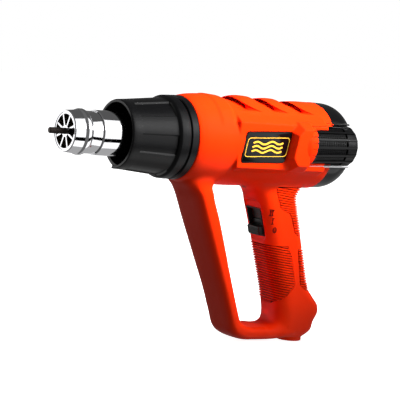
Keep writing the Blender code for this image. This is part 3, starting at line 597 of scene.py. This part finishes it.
def pod_solid():
    """Six-sided mound that carries the dial, tapered towards its outer face."""
    middle_x, middle_z = POD_MIDDLE
    loops = []
    for y, shrink in ((-20.0, 1.0), (-34.0, 1.0), (POD_OUTER_Y + 1.6, 0.74)):
        loops.append([(middle_x + (x - middle_x) * shrink, y, middle_z + (z - middle_z) * shrink)
                      for x, z in POD_BASE])
    return loft(loops)


def pod_sleeve():
    """Sleeve round the dial's front end, cut off on a slant, with notches in its rim."""
    waste = moved(box((0.0, -30.0, -30.0), (20.0, 30.0, 30.0)), (POD_RIM, 0.0, 0.0),
                  Matrix.Rotation(radians(6.0), 3, 'Y'))
    steps = [('DIFFERENCE', waste)]
    for index in range(POD_NOTCHES):
        notch = box((POD_RIM - 4.2, -0.55, POD_RADIUS - 0.8), (POD_RIM + 6.0, 0.55, POD_RADIUS + 3.0))
        turn = Matrix.Rotation(2 * pi * (index + 0.3) / POD_NOTCHES, 3, 'X')
        steps.append(('DIFFERENCE', moved(notch, turn=turn)))
    profile = [(-16.0, 0.0), (-16.0, 11.0), (-4.5, POD_RADIUS - 0.6), (-2.0, POD_RADIUS),
               (POD_RIM + 5.0, POD_RADIUS), (POD_RIM + 5.0, 0.0)]
    return along_dial(combine(revolve(profile, 96), steps))


def plate_corners(margin):
    """Leaning parallelogram on the left side: the nameplate's outline, grown by margin."""
    return [(38.7 - margin, -14.0 - margin), (81.1 + margin, -12.6 - margin),
            (86.3 + margin, 12.1 + margin), (42.4 - margin, 10.2 + margin)]


def switch_place():
    """Point on the grip's front line where the button's middle rests."""
    heights, fronts = zip(*[row[:2] for row in GRIP_ROWS[::-1]])
    return Vector((float(np.interp(SWITCH_Z, heights, fronts)), 0.0, SWITCH_Z))


def on_switch(mesh):
    """Place a mesh whose local Z runs along the slide and whose -X faces forwards."""
    return moved(mesh, switch_place(), Matrix.Rotation(-GRIP_RAKE, 3, 'Y'))


def thumb_scoop():
    """Shallow rounded hollow with sloping sides, round the switch."""
    loops = []
    for depth, grow in ((-6.0, 1.6), (0.2, 0.6), (2.0, -0.8)):
        outline = rounded_rectangle(34.0 + 2 * grow, 21.0 + 2 * grow, 5.0 + grow)
        loops.append([(depth, v, 8.0 + u) for u, v in outline])
    return on_switch(loft(loops))


def skin_mesh():
    """Outer skin of both housing halves, rounded and blended where parts of it meet."""
    profile = [tuple(row) for row in spline_rows(BODY_PROFILE, 10)]
    tail = BODY_REAR_X + 2.5
    barrel = revolve([(0.0, 0.0)] + profile + [(tail, BODY_PROFILE[-1][1]), (tail, 0.0)], 144,
                     shape=barrel_shape)
    steps = [('UNION', side_panel(side)) for side in (-1, 1)]
    steps += [('UNION', grip_solid()), ('UNION', guard_solid()), ('UNION', pod_solid()),
              ('DIFFERENCE', thumb_scoop())]
    skin = remeshed(combine(barrel, steps), VOXEL)
    rounds = int(round(60 * (FINE_VOXEL / VOXEL) ** 2))
    relax(skin, junction_weight(points_of(skin)), 3 * rounds)
    relax(skin, np.full(len(skin.vertices), 0.8), max(1, rounds // 20))
    return skin


def junction_weight(points):
    """Where the guard and grip run into the barrel, and the bar into the grip."""
    x, y, z = points.T
    radial = np.hypot(y, z)
    near_barrel = 1 - smooth_step(np.abs(radial - 36.5), 3.0, 9.0)
    below = smooth_step(-z, 20.0, 27.0)
    ends = smooth_step(x, 6.0, 14.0) * (1 - smooth_step(x, 112.0, 122.0))
    barrel = near_barrel * below * ends
    corner = 1 - smooth_step(np.hypot(x - 105.0, z + 147.0), 5.0, 11.0)
    return np.maximum(barrel, 0.9 * corner)


def cavity_mesh():
    """Room inside the housing, clear of the dial's pocket and the switch."""
    pocket = along_dial(rod(-16.0, 60.0, POCKET_RADIUS + WALL, 50))
    screw_band = box((60.0, -5.0, -36.0), (118.0, 5.0, -24.0))
    switch_block = on_switch(box((-6.0, -16.0, -11.0), (13.0, 16.0, 28.0)))
    steps = [('DIFFERENCE', pocket), ('UNION', grip_solid(WALL, -28.0, -150.5, 2)),
             ('UNION', screw_band), ('DIFFERENCE', switch_block)]
    return combine(revolve(CAVITY_PROFILE, 60), steps)


def half_of(shell, side):
    """One closed half of the housing, with its parting face."""
    bm = bmesh.new()
    bm.from_mesh(shell)
    everything = bm.verts[:] + bm.edges[:] + bm.faces[:]
    cut = bmesh.ops.bisect_plane(bm, geom=everything, plane_co=(0, side * PARTING_GAP, 0),
                                 plane_no=(0, -side, 0), clear_outer=True)
    rim = [item for item in cut["geom_cut"] if isinstance(item, bmesh.types.BMEdge)]
    bmesh.ops.triangle_fill(bm, edges=rim, use_beauty=True, use_dissolve=False,
                            normal=(0, -side, 0))
    mesh = bpy.data.meshes.new("half")
    bm.to_mesh(mesh)
    bm.free()
    return mesh


def switch_window():
    """Opening that leaves the button free along its whole travel."""
    half_width = BUTTON_HALF_WIDTH + 0.5
    return on_switch(box((-9.0, -half_width, -BUTTON_HALF_HEIGHT - 0.5),
                         (10.0, half_width, BUTTON_HALF_HEIGHT + SLIDE_TRAVEL + 0.5)))


def housing():
    """Both halves: the skin less its cavity, intake slots, recesses and switch window."""
    openings = [louver_cut(*louver) for louver in LOUVERS]
    openings += [prism(rounded_polygon(plate_corners(0.5), 3.6), -33.4, -45.0),
                 along_dial(rod(-1.0, 60.0, POCKET_RADIUS, 96)), switch_window(),
                 rod(-5.0, 0.6, 30.2, 96),
                 box((BODY_REAR_X, -50.0, -38.0), (BODY_REAR_X + 20.0, 50.0, 45.0))]
    openings += [pad_recess(*zone[1:]) for zone in RIB_ZONES]
    removed = combine(cavity_mesh(), [('UNION', mesh) for mesh in openings])
    shell = combine(skin_mesh(), [('UNION', pod_sleeve()), ('DIFFERENCE', removed)])
    for name, side in (("left_housing_shell", -1), ("right_housing_shell", 1)):
        piece("moulded_" + name, half_of(shell, side), RED, "housing", [name],
              sharp=50.0)


# ------------------------------ collar, nozzle, dome

def collar_shape(x, radius, angle):
    """Six recessed panels, each half of its 60 degree share of the tapered sleeve."""
    if radius < 26.0 or not COLLAR_PANEL[0] <= x <= COLLAR_PANEL[1]:
        return radius
    share = (-angle - radians(23.0)) % radians(60.0)
    return radius - COLLAR_PANEL_DEPTH if share < radians(30.0) else radius


def collar():
    """Tapered sleeve with a grooved rear band and a notch in its front edge."""
    outer = [(-56.0, 25.9), (-55.7, 26.3), (-55.0, 26.6), (-52.0, 26.8), (-48.3, 27.1), (-48.0, 27.1)]
    outer += [(-48.0 + 30.4 * i / 12, 27.1 + 2.9 * i / 12) for i in range(1, 13)]
    outer += [(-17.4, 30.1), (-17.0, 30.5), (-15.6, 31.9), (-14.8, 32.2), (-9.2, 32.5), (-8.8, 32.3),
              (-8.5, 31.3), (-6.7, 31.3), (-6.3, 32.3), (-5.9, 32.6), (-0.8, 32.7), (-0.3, 32.4),
              (-0.3, 29.6), (8.0, 29.6), (8.0, 27.4), (-14.0, 27.4), (-50.0, 24.4), (-55.4, 24.0),
              (-56.0, 24.3)]
    sleeve = revolve(outer, 180, closed=True, shape=collar_shape)
    notch = loft([[(-60.0 + dx, y, z) for dx, y in ((0, -17), (8.0, -17), (11.0, -13), (11.0, 13),
                                                     (8.0, 17), (0, 17))] for z in (-40.0, -18.0)])
    moved(notch, turn=Matrix.Rotation(radians(42.0), 3, 'X'))
    sleeve = combine(sleeve, [('DIFFERENCE', notch)])
    piece("moulded_front_collar", sleeve, BLACK, "housing", ["front_collar"], sharp=25.0)


def nozzle():
    """Outlet tube, its beaded tip, the spoked disc and the rod through it."""
    face = -100.9
    body = [(-76.0, 16.4), (-76.0, 16.8), (-75.6, 17.15), (-75.0, 17.2), (7.0, 17.2), (7.0, 25.0),
            (8.0, 25.0), (8.0, 16.4)]
    piece("polished_nozzle_tube", revolve(body, 128, closed=True), CHROME, "housing",
          ["nozzle_tube"])
    tip = [(face + 0.2, 14.4), (face, 14.7), (face, 15.3), (face + 0.3, 15.7), (face + 1.0, 15.9),
           (face + 9.0, 16.5), (face + 10.0, 16.8), (face + 10.7, 17.4), (face + 11.6, 17.6),
           (face + 13.4, 17.6), (face + 14.2, 17.3), (face + 15.0, 16.6), (face + 16.0, 16.2),
           (-70.0, 16.15), (-70.0, 15.3), (face + 9.0, 15.3), (face + 3.0, 15.2), (face + 3.0, 14.4)]
    piece("polished_nozzle_tip", revolve(tip, 128, closed=True), CHROME, "housing",
          ["nozzle_tip"], sharp=50.0)
    parts = [tube(face + 0.5, face + 5.3, 14.3, 13.0, 96), tube(face + 0.6, face + 5.3, 4.4, 2.55, 48)]
    for index in range(SPOKES):
        spoke = box((face + 0.8, -0.7, 4.0), (face + 5.0, 0.7, 14.0))
        parts.append(moved(spoke, turn=Matrix.Rotation(2 * pi * (index + 0.5) / SPOKES, 3, 'X')))
    spider = combine(parts[0], [('UNION', part) for part in parts[1:]])
    piece("polished_nozzle_spider", spider, CHROME, "housing", ["nozzle_spider"], sharp=30.0)
    rod_profile = [(-114.3, 0.0), (-114.3, 1.5), (-114.0, 2.0), (-113.5, 2.35), (9.0, 2.35), (9.0, 0.0)]
    piece("heat_darkened_rod", revolve(rod_profile, 48), DARK_STEEL, "housing",
          ["centre_rod"])


def rear_dome():
    """Domed cap with five vent slots and room for the dial."""
    seat, shoulder, rear, power = 128.0, 136.0, 162.0, 0.86
    profile = [(seat, 0.0), (seat, 34.2), (seat + 0.4, 34.6)]
    for step in range(24):
        angle = pi / 2 * step / 24
        profile.append((shoulder + (rear - shoulder) * sin(angle) ** power,
                        34.4 * cos(angle) ** power))
    steps = [('DIFFERENCE', along_dial(rod(-10.0, 60.0, POCKET_RADIUS, 96)))]
    for row in range(-2, 3):
        slot = prism(rounded_rectangle(18.0, 2.2, 1.0), -1.0, 13.0)
        steps.append(('DIFFERENCE', moved(slot, (rear, 0.0, 5.0 * row))))
    dome = combine(revolve(profile + [(rear, 0.0)], 128), steps)
    piece("moulded_rear_cap", dome, GLOSS_BLACK, "housing", ["rear_cap"], sharp=40.0)


# ------------------------------ dial

def dial_spans():
    """Stretches along the dial: block, lattice, gap and end band."""
    spans = [(0.8, LATTICE_START, "block")]
    x = LATTICE_START
    while x + LATTICE_PITCH < LATTICE_END:
        bar_start = x + LATTICE_PITCH - LATTICE_BAR
        spans += [(x, bar_start, "hole"), (bar_start, x + LATTICE_PITCH, "bar")]
        x += LATTICE_PITCH
    return spans + [(x, x + 2.0, "gap"), (x + 2.0, 44.2, "band")]


def dial_reach(x, along, across):
    """Radius of the dial where a stretch along it meets a sector across it."""
    taper = 0.7 * x / DIAL_LENGTH
    if across == "rib":
        return DIAL_RADIUS - taper
    if along == "gap":
        return 14.6
    if across == "edge":
        return 15.9 - taper
    if along in ("block", "band"):
        return 16.9 - taper
    if "bar" in (along, across):
        return 16.6 - taper
    return 15.0


def dial_mesh():
    """Ribbed knob with a fine lattice in each hollow between the ribs."""
    angles, kinds = [], []
    for index in range(DIAL_RIBS):
        start = 360.0 / DIAL_RIBS * index
        for first, last, kind in DIAL_SECTORS:
            angles += [radians(start + first + 0.1), radians(start + last - 0.1)]
            kinds += [kind, kind]
    rows = [(0.3, [14.0] * len(kinds))]
    for first, last, along in dial_spans():
        for x in (first + 0.02, last - 0.02):
            rows.append((x, [dial_reach(x, along, kind) for kind in kinds]))
    for x, rib, hollow in DIAL_END:
        rows.append((x, [rib if kind == "rib" else hollow for kind in kinds]))
    loops = [[(x, reach * sin(angle), reach * cos(angle)) for angle, reach in zip(angles, reaches)]
             for x, reaches in rows]
    return along_dial(loft(loops))


def dial():
    """The dial, and chrome strips in its pocket above and below it that paint highlight lines along the
    pocket's edge.
    """
    piece("ribbed_temperature_dial", dial_mesh(), BLACK, "dial",
          ["temperature_dial"], sharp=25.0)
    # Chrome strips in the pocket: painted highlights, standing for the bright lines the light makes
    # along the pocket's edge
    for name, low, high, start in (("pocket_highlight_strip_lower", 206.0, 213.0, 3.0),
                                   ("pocket_highlight_strip_upper", 342.0, 347.0, 27.0)):
        outer, inner = POCKET_RADIUS + 0.2, POCKET_RADIUS - 0.75
        section = [(start, inner), (POCKET_HIGHLIGHT_STRIP_END, inner), (POCKET_HIGHLIGHT_STRIP_END, outer), (start, outer)]
        loops = []
        for angle in np.radians(np.linspace(low, high, 13)):
            loops.append([(x, r * sin(angle), r * cos(angle)) for x, r in section])
        piece(name, along_dial(loft(loops)), CHROME, "housing")


# ------------------------------ nameplate

def ribbon(path, width, y0, y1):
    """Band of even width along an (x, z) path, extruded along Y."""
    left, right = [], []
    for index, point in enumerate(path):
        here = Vector(point)
        ahead = Vector(path[min(index + 1, len(path) - 1)]) - Vector(path[max(index - 1, 0)])
        across = Vector((-ahead.y, ahead.x)).normalized() * width / 2
        left.append(tuple(here + across))
        right.append(tuple(here - across))
    return prism(left + right[::-1], y0, y1)


def on_plate(points):
    """Place (u, v) points on the nameplate, leaning with its ends and rising with its edges."""
    x, z = PLATE_MIDDLE
    return [(x + u + PLATE_LEAN * v, z + v + PLATE_RISE * u) for u, v in points]


def nameplate():
    """Black plate with a gold outline and three gold waves."""
    outline = rounded_polygon(plate_corners(0.0), 3.4)
    piece("nameplate_blank", prism(outline, PLATE_BACK_Y, PLATE_FACE_Y, 0.3), GLOSS_BLACK,
          "housing", ["nameplate"])
    frame_line = prism(on_plate(rounded_rectangle(40.4, 15.2, 2.6)), PRINT_BACK_Y, -35.62)
    hole = prism(on_plate(rounded_rectangle(39.3, 14.1, 2.1)), -35.0, -36.0)
    trim = combine(frame_line, [('DIFFERENCE', hole)])
    piece("nameplate_outline", trim, GOLD, "housing", ["badge_trim"], sharp=30.0)
    waves = []
    for row in (-1, 0, 1):
        path = on_plate([(-14.5 + 29.0 * i / 40, 3.3 * row + 1.1 * sin(4 * pi * i / 40))
                         for i in range(41)])
        waves.append(ribbon(path, 1.35, PRINT_BACK_Y, -35.66))
    piece("warm_air_waves", joined(waves), GOLD, "housing", sharp=30.0)


# ------------------------------ grip details

def grip_section(z, count=160):
    """Left half of the grip's outline at a height, from the front's middle to the back's."""
    rows = spline_rows(GRIP_ROWS, 12)
    heights = [row[0] for row in rows][::-1]
    front, back, half = [float(np.interp(z, heights, [row[k] for row in rows][::-1]))
                         for k in (1, 2, 3)]
    outline = np.array(grip_outline(front, back, half, steps=12))
    outline = outline[outline[:, 1] <= 0.0]
    outline = outline[np.argsort(np.arctan2(-outline[:, 1], (front + back) / 2 - outline[:, 0]))]
    outline = np.vstack([[front, 0.0], outline, [back, 0.0]])
    length = np.concatenate([[0.0], np.cumsum(np.hypot(*np.diff(outline, axis=0).T))])
    steps = np.linspace(0.0, length[-1], count)
    return np.stack([np.interp(steps, length, outline[:, k]) for k in (0, 1)], 1)


def pad_grid(rows, wrapped, grow, samples, columns=40):
    """Points and outward directions over a pad on the grip's left side.

    rows: z, first x, last x. The pad runs on round the grip's front or back edge.
    """
    table = np.array(rows, float)[::-1]
    low, high = table[0, 0] - grow, table[-1, 0] + grow
    grid = []
    for z in np.linspace(high, low, samples + 1):
        section = grip_section(z)
        first, last = 0, len(section) - 1
        if wrapped == "front":
            edge = np.interp(z, table[:, 0], table[:, 2]) + grow
            last = int(np.argmin(np.abs(section[10:-10, 0] - edge))) + 10
        else:
            edge = np.interp(z, table[:, 0], table[:, 1]) - grow
            first = int(np.argmin(np.abs(section[10:-10, 0] - edge))) + 10
        picks = np.linspace(first, last, columns)
        xs = np.interp(picks, np.arange(len(section)), section[:, 0])
        ys = np.interp(picks, np.arange(len(section)), section[:, 1])
        slope = np.stack([np.gradient(xs), np.gradient(ys)], 1)
        normal = np.stack([slope[:, 1], -slope[:, 0]], 1)
        normal /= np.maximum(np.hypot(*normal.T), 1e-9)[:, None]
        if normal[columns // 2, 1] > 0:
            normal = -normal
        grid.append((z, xs, ys, normal))
    return grid


def pad_loops(grid, offsets, wrapped):
    """Loops of a closed pad from pairs of outer and inner offsets; it mirrors round the edge."""
    loops = []
    for (z, xs, ys, normal), (outer, inner) in zip(grid, offsets):
        top, bottom = [[(x + n[0] * lift, y + n[1] * lift, z)
                        for x, y, n, lift in zip(xs, ys, normal, np.broadcast_to(lifts, xs.shape))]
                       for lifts in (outer, inner)]
        if wrapped == "back":
            top, bottom = top[::-1], bottom[::-1]
        loops.append([(x, -y, z) for x, y, z in top[:0:-1]] + [(top[0][0], 0.0, z)] + top[1:]
                     + bottom[:0:-1] + [(bottom[0][0], 0.0, z)]
                     + [(x, -y, z) for x, y, z in bottom[1:]])
    return loops


def pad_recess(rows, wrapped):
    """Cutter for the shallow bed that a pad lies in."""
    grid = pad_grid(rows, wrapped, grow=0.6, samples=24, columns=30)
    return loft(pad_loops(grid, [(2.5, -1.35)] * len(grid), wrapped))


def rib_pad(rows, wrapped):
    """Pad of fine slanting ribs."""
    span = rows[0][0] - rows[-1][0]
    samples = int(span / RIB_PITCH * 10)
    grid = pad_grid(rows, wrapped, grow=0.0, samples=samples)
    offsets = []
    for index, (z, xs, ys, _) in enumerate(grid):
        phase = (z + 0.12 * (xs - xs.min())) / RIB_PITCH
        wave = np.abs((phase % 1.0) - 0.5) * 2.0
        crest = np.clip((wave - 0.24) / 0.18, 0.0, 1.0)
        lift = RIB_GROOVE + (RIB_CREST - RIB_GROOVE) * crest
        if index in (0, samples):
            lift = np.full(len(xs), RIB_GROOVE)
        offsets.append((lift, -1.7))
    return loft(pad_loops(grid, offsets, wrapped))


def grip_pads():
    """Ribbed pads, each over a dark sheet whose colour shows in its grooves as painted shade."""
    for name, rows, wrapped in RIB_ZONES:
        piece(name, rib_pad(rows, wrapped), RED, "housing", sharp=30.0)
        # Sheet just under the ribs' surface: its dark red paints the shade in the grooves
        grid = pad_grid(rows, wrapped, grow=0.3, samples=24, columns=30)
        floor = loft(pad_loops(grid, [(-0.75, -1.8)] * len(grid), wrapped))
        piece(name + "_painted_groove_shade", floor, DARK_RED, "housing", sharp=30.0)


def mark_stroke(x, z, wide, tall, lean=0.0):
    """Raised stroke round (x, z); lean carries its top rearwards and its foot forwards."""
    outline = [(x - wide / 2 - lean, z - tall / 2), (x + wide / 2 - lean, z - tall / 2),
               (x + wide / 2 + lean, z + tall / 2), (x - wide / 2 + lean, z + tall / 2)]
    return prism(outline, *MARK_FACES)


def mark_bar(x, z):
    return mark_stroke(x, z, 0.65, 4.2, tan(GRIP_RAKE) * 0.4)


def mark_serif(x, z, wide):
    return mark_stroke(x, z, wide, 0.56)


def ellipse(x, z, half_width, half_height, steps=24):
    """Outline of an ellipse round (x, z)."""
    return [(x + half_width * cos(angle), z + half_height * sin(angle))
            for angle in np.linspace(0, 2 * pi, steps, endpoint=False)]


def switch_marks():
    """Position marks beside the slide: two bars, one bar and a ring."""
    two = joined([mark_bar(86.4, -54.5), mark_bar(88.8, -54.5), mark_serif(87.9, -52.2, 4.8),
                  mark_serif(87.4, -56.8, 4.8)])
    one = joined([mark_bar(89.6, -61.2), mark_serif(89.9, -58.9, 2.4), mark_serif(89.4, -63.5, 2.4)])
    back, front = MARK_FACES
    hole = prism(ellipse(92.4, -68.4, 1.15, 1.65), back + 1, front - 1)
    ring = combine(prism(ellipse(92.4, -68.4, 1.8, 2.3), back, front), [('DIFFERENCE', hole)])
    for name, mesh in (("mark_two", two), ("mark_one", one), ("mark_zero", ring)):
        piece(name, mesh, DARK_RED, "housing", sharp=30.0)


def slide_button():
    """Button with four grooves across its face."""
    sections = ((3.6, 0.0), (-1.4, 0.0), (-2.2, 0.3), (-2.6, 0.9))
    loops = []
    for x, inset in sections:
        outline = rounded_rectangle(2 * (BUTTON_HALF_HEIGHT - inset),
                                    2 * (BUTTON_HALF_WIDTH - inset), 1.2)
        loops.append([(x, v, u) for u, v in outline])
    steps = []
    for z in (-2.2, -0.7, 0.8, 2.3):
        groove = box((-3.2, -6.4, z - 0.3), (-2.0, 6.4, z + 0.3))
        steps.append(('DIFFERENCE', groove))
    piece("grooved_slide_button", on_switch(combine(loft(loops), steps)), BLACK, "slider",
          ["slide_button"], sharp=30.0)


def switch_well():
    """Dark lining behind the switch window."""
    half_width = BUTTON_HALF_WIDTH + 0.55
    z0, z1 = -BUTTON_HALF_HEIGHT - 0.55, BUTTON_HALF_HEIGHT + SLIDE_TRAVEL + 0.55
    outer = box((0.9, -half_width - 0.6, z0 - 0.6), (9.0, half_width + 0.6, z1 + 0.6))
    inner = box((-1.0, -half_width + 0.1, z0 + 0.1), (5.2, half_width - 0.1, z1 - 0.1))
    lined = combine(outer, [('DIFFERENCE', inner)])
    piece("switch_well", on_switch(lined), MATT_BLACK, "housing", sharp=30.0)


def cord_boss():
    """Round stub under the grip, open where the cord leaves."""
    profile = [(0.4, 5.0), (0.0, 5.6), (0.0, 9.6), (0.4, 10.2), (1.2, 10.4), (4.0, 10.4), (4.0, 5.0)]
    upright = Matrix.Rotation(-pi / 2, 3, 'Y')
    boss = moved(revolve(profile, 72, closed=True), (BOSS_X, 0.0, FOOT_Z), upright)
    piece("moulded_cord_boss", boss, RED, "housing", ["cord_boss"])


# ------------------------------ stage

def camera():
    """Three-quarter view from the front left, a little above level."""
    forward = Vector((cos(CAMERA_DROP) * sin(CAMERA_YAW), cos(CAMERA_DROP) * cos(CAMERA_YAW),
                      -sin(CAMERA_DROP)))
    right = Vector((cos(CAMERA_YAW), -sin(CAMERA_YAW), 0.0))
    up = right.cross(forward)
    rolled_right = cos(CAMERA_ROLL) * right + sin(CAMERA_ROLL) * up
    rolled_up = -sin(CAMERA_ROLL) * right + cos(CAMERA_ROLL) * up
    data = bpy.data.cameras.new("studio_camera")
    data.lens = CAMERA_LENS
    data.sensor_width = 36.0
    data.clip_start = 0.05
    item = bpy.data.objects.new("studio_camera", data)
    bpy.context.scene.collection.objects.link(item)
    turn = Matrix((rolled_right, rolled_up, -forward)).transposed()
    place = ORIGIN + (CAMERA_TARGET - forward * CAMERA_DISTANCE) * MM
    item.matrix_world = Matrix.Translation(place) @ turn.to_4x4()
    bpy.context.scene.camera = item


def area_light(name, place, target, size, power):
    """White softbox that the camera and the reflections don't see."""
    data = bpy.data.lights.new(name, 'AREA')
    data.shape = 'RECTANGLE'
    data.size, data.size_y = size
    data.energy = power
    item = bpy.data.objects.new(name, data)
    bpy.context.scene.collection.objects.link(item)
    item.location = place
    item.rotation_euler = (Vector(target) - Vector(place)).to_track_quat('-Z', 'Y').to_euler()
    item.visible_camera = False
    item.visible_glossy = False


def stage_sheet(name, points, faces, colour, glow, camera=False, glossy=False, shadow=False):
    """Staged sheet that glows and is met only by the kinds of ray that are named."""
    mesh = bpy.data.meshes.new(name)
    mesh.from_pydata(points, [], faces)
    finish = surface(name + "_finish", colour, 0.9, tint=0.01, bump=0.0, specular=0.0)
    shader = finish.node_tree.nodes["Principled BSDF"]
    shader.inputs["Emission Color"].default_value = WHITE
    shader.inputs["Emission Strength"].default_value = glow
    mesh.materials.append(finish)
    item = bpy.data.objects.new(name, mesh)
    bpy.context.scene.collection.objects.link(item)
    item.visible_diffuse = False
    item.visible_camera = camera
    item.visible_glossy = glossy
    item.visible_shadow = shadow
    item.visible_transmission = False
    item.visible_volume_scatter = False


def reflected_card(name, low, high, glow, reach):
    """Part of a wide drum round the barrel's axis; angles in degrees up from the left side."""
    points = []
    steps = 12
    for index in range(steps + 1):
        angle = radians(low + (high - low) * index / steps)
        for x in (0.05, 2.4):
            points.append((x, ORIGIN.y - reach * cos(angle), ORIGIN.z + reach * sin(angle)))
    faces = [(2 * i, 2 * i + 1, 2 * i + 3, 2 * i + 2) for i in range(steps)]
    stage_sheet(name, points, faces, UNLIT, glow, glossy=True)


def backdrop():
    """Plain white dome behind everything, met by the camera only."""
    rings, segments = 12, 32
    points = []
    for ring in range(rings + 1):
        up = pi * ring / rings
        for index in range(segments):
            angle = 2 * pi * index / segments
            points.append((BACKDROP_REACH * sin(up) * cos(angle),
                           BACKDROP_REACH * sin(up) * sin(angle), BACKDROP_REACH * cos(up)))
    faces = []
    for ring in range(rings):
        for index in range(segments):
            after = (index + 1) % segments
            faces.append((ring * segments + index, ring * segments + after,
                          (ring + 1) * segments + after, (ring + 1) * segments + index))
    stage_sheet("backdrop", points, faces, UNLIT, 1.0, camera=True)


def studio():
    """Pale floor and backdrop, reflected cards, a flagged key light and two weak fills."""
    scene = bpy.context.scene
    scene.view_settings.view_transform = 'Standard'
    world = bpy.data.worlds.new("pale_studio")
    world.use_nodes = True
    sky = world.node_tree.nodes["Background"]
    sky.inputs["Color"].default_value = WHITE
    sky.inputs["Strength"].default_value = SKY_GLOW
    scene.world = world
    backdrop()
    corners = [(FLOOR_REACH * x, FLOOR_REACH * y, 0) for x, y in ((-1, -1), (1, -1), (1, 1), (-1, 1))]
    stage_sheet("floor", corners, [(0, 1, 2, 3)], PALE, FLOOR_GLOW, camera=True)
    for name, placing in CARDS.items():
        reflected_card(name, *placing)
    stage_sheet("card_behind", CARD_BEHIND, [(0, 1, 2, 3)], UNLIT, 1.5, glossy=True)
    area_light("key_softbox", LIT_MIDDLE + KEY_DISTANCE * KEY_DIRECTION, LIT_MIDDLE,
               size=(0.5, 0.5), power=KEY_POWER)
    stage_sheet("key_flag", KEY_FLAG, [(0, 1, 2, 3)], UNLIT, 0.0, shadow=True)
    area_light("top_softbox", (0.1, -0.1, 1.3), LIT_MIDDLE, size=(0.9, 0.6), power=9.0)
    area_light("low_fill", (0.10, -0.34, 0.03), (0.03, 0.0, 0.13), size=(0.3, 0.04), power=0.35)


# ------------------------------ build

camera()
studio()
finish_cad_nodes()
housing()
collar()
nozzle()
rear_dome()
dial()
nameplate()
grip_pads()
switch_marks()
slide_button()
switch_well()
cord_boss()
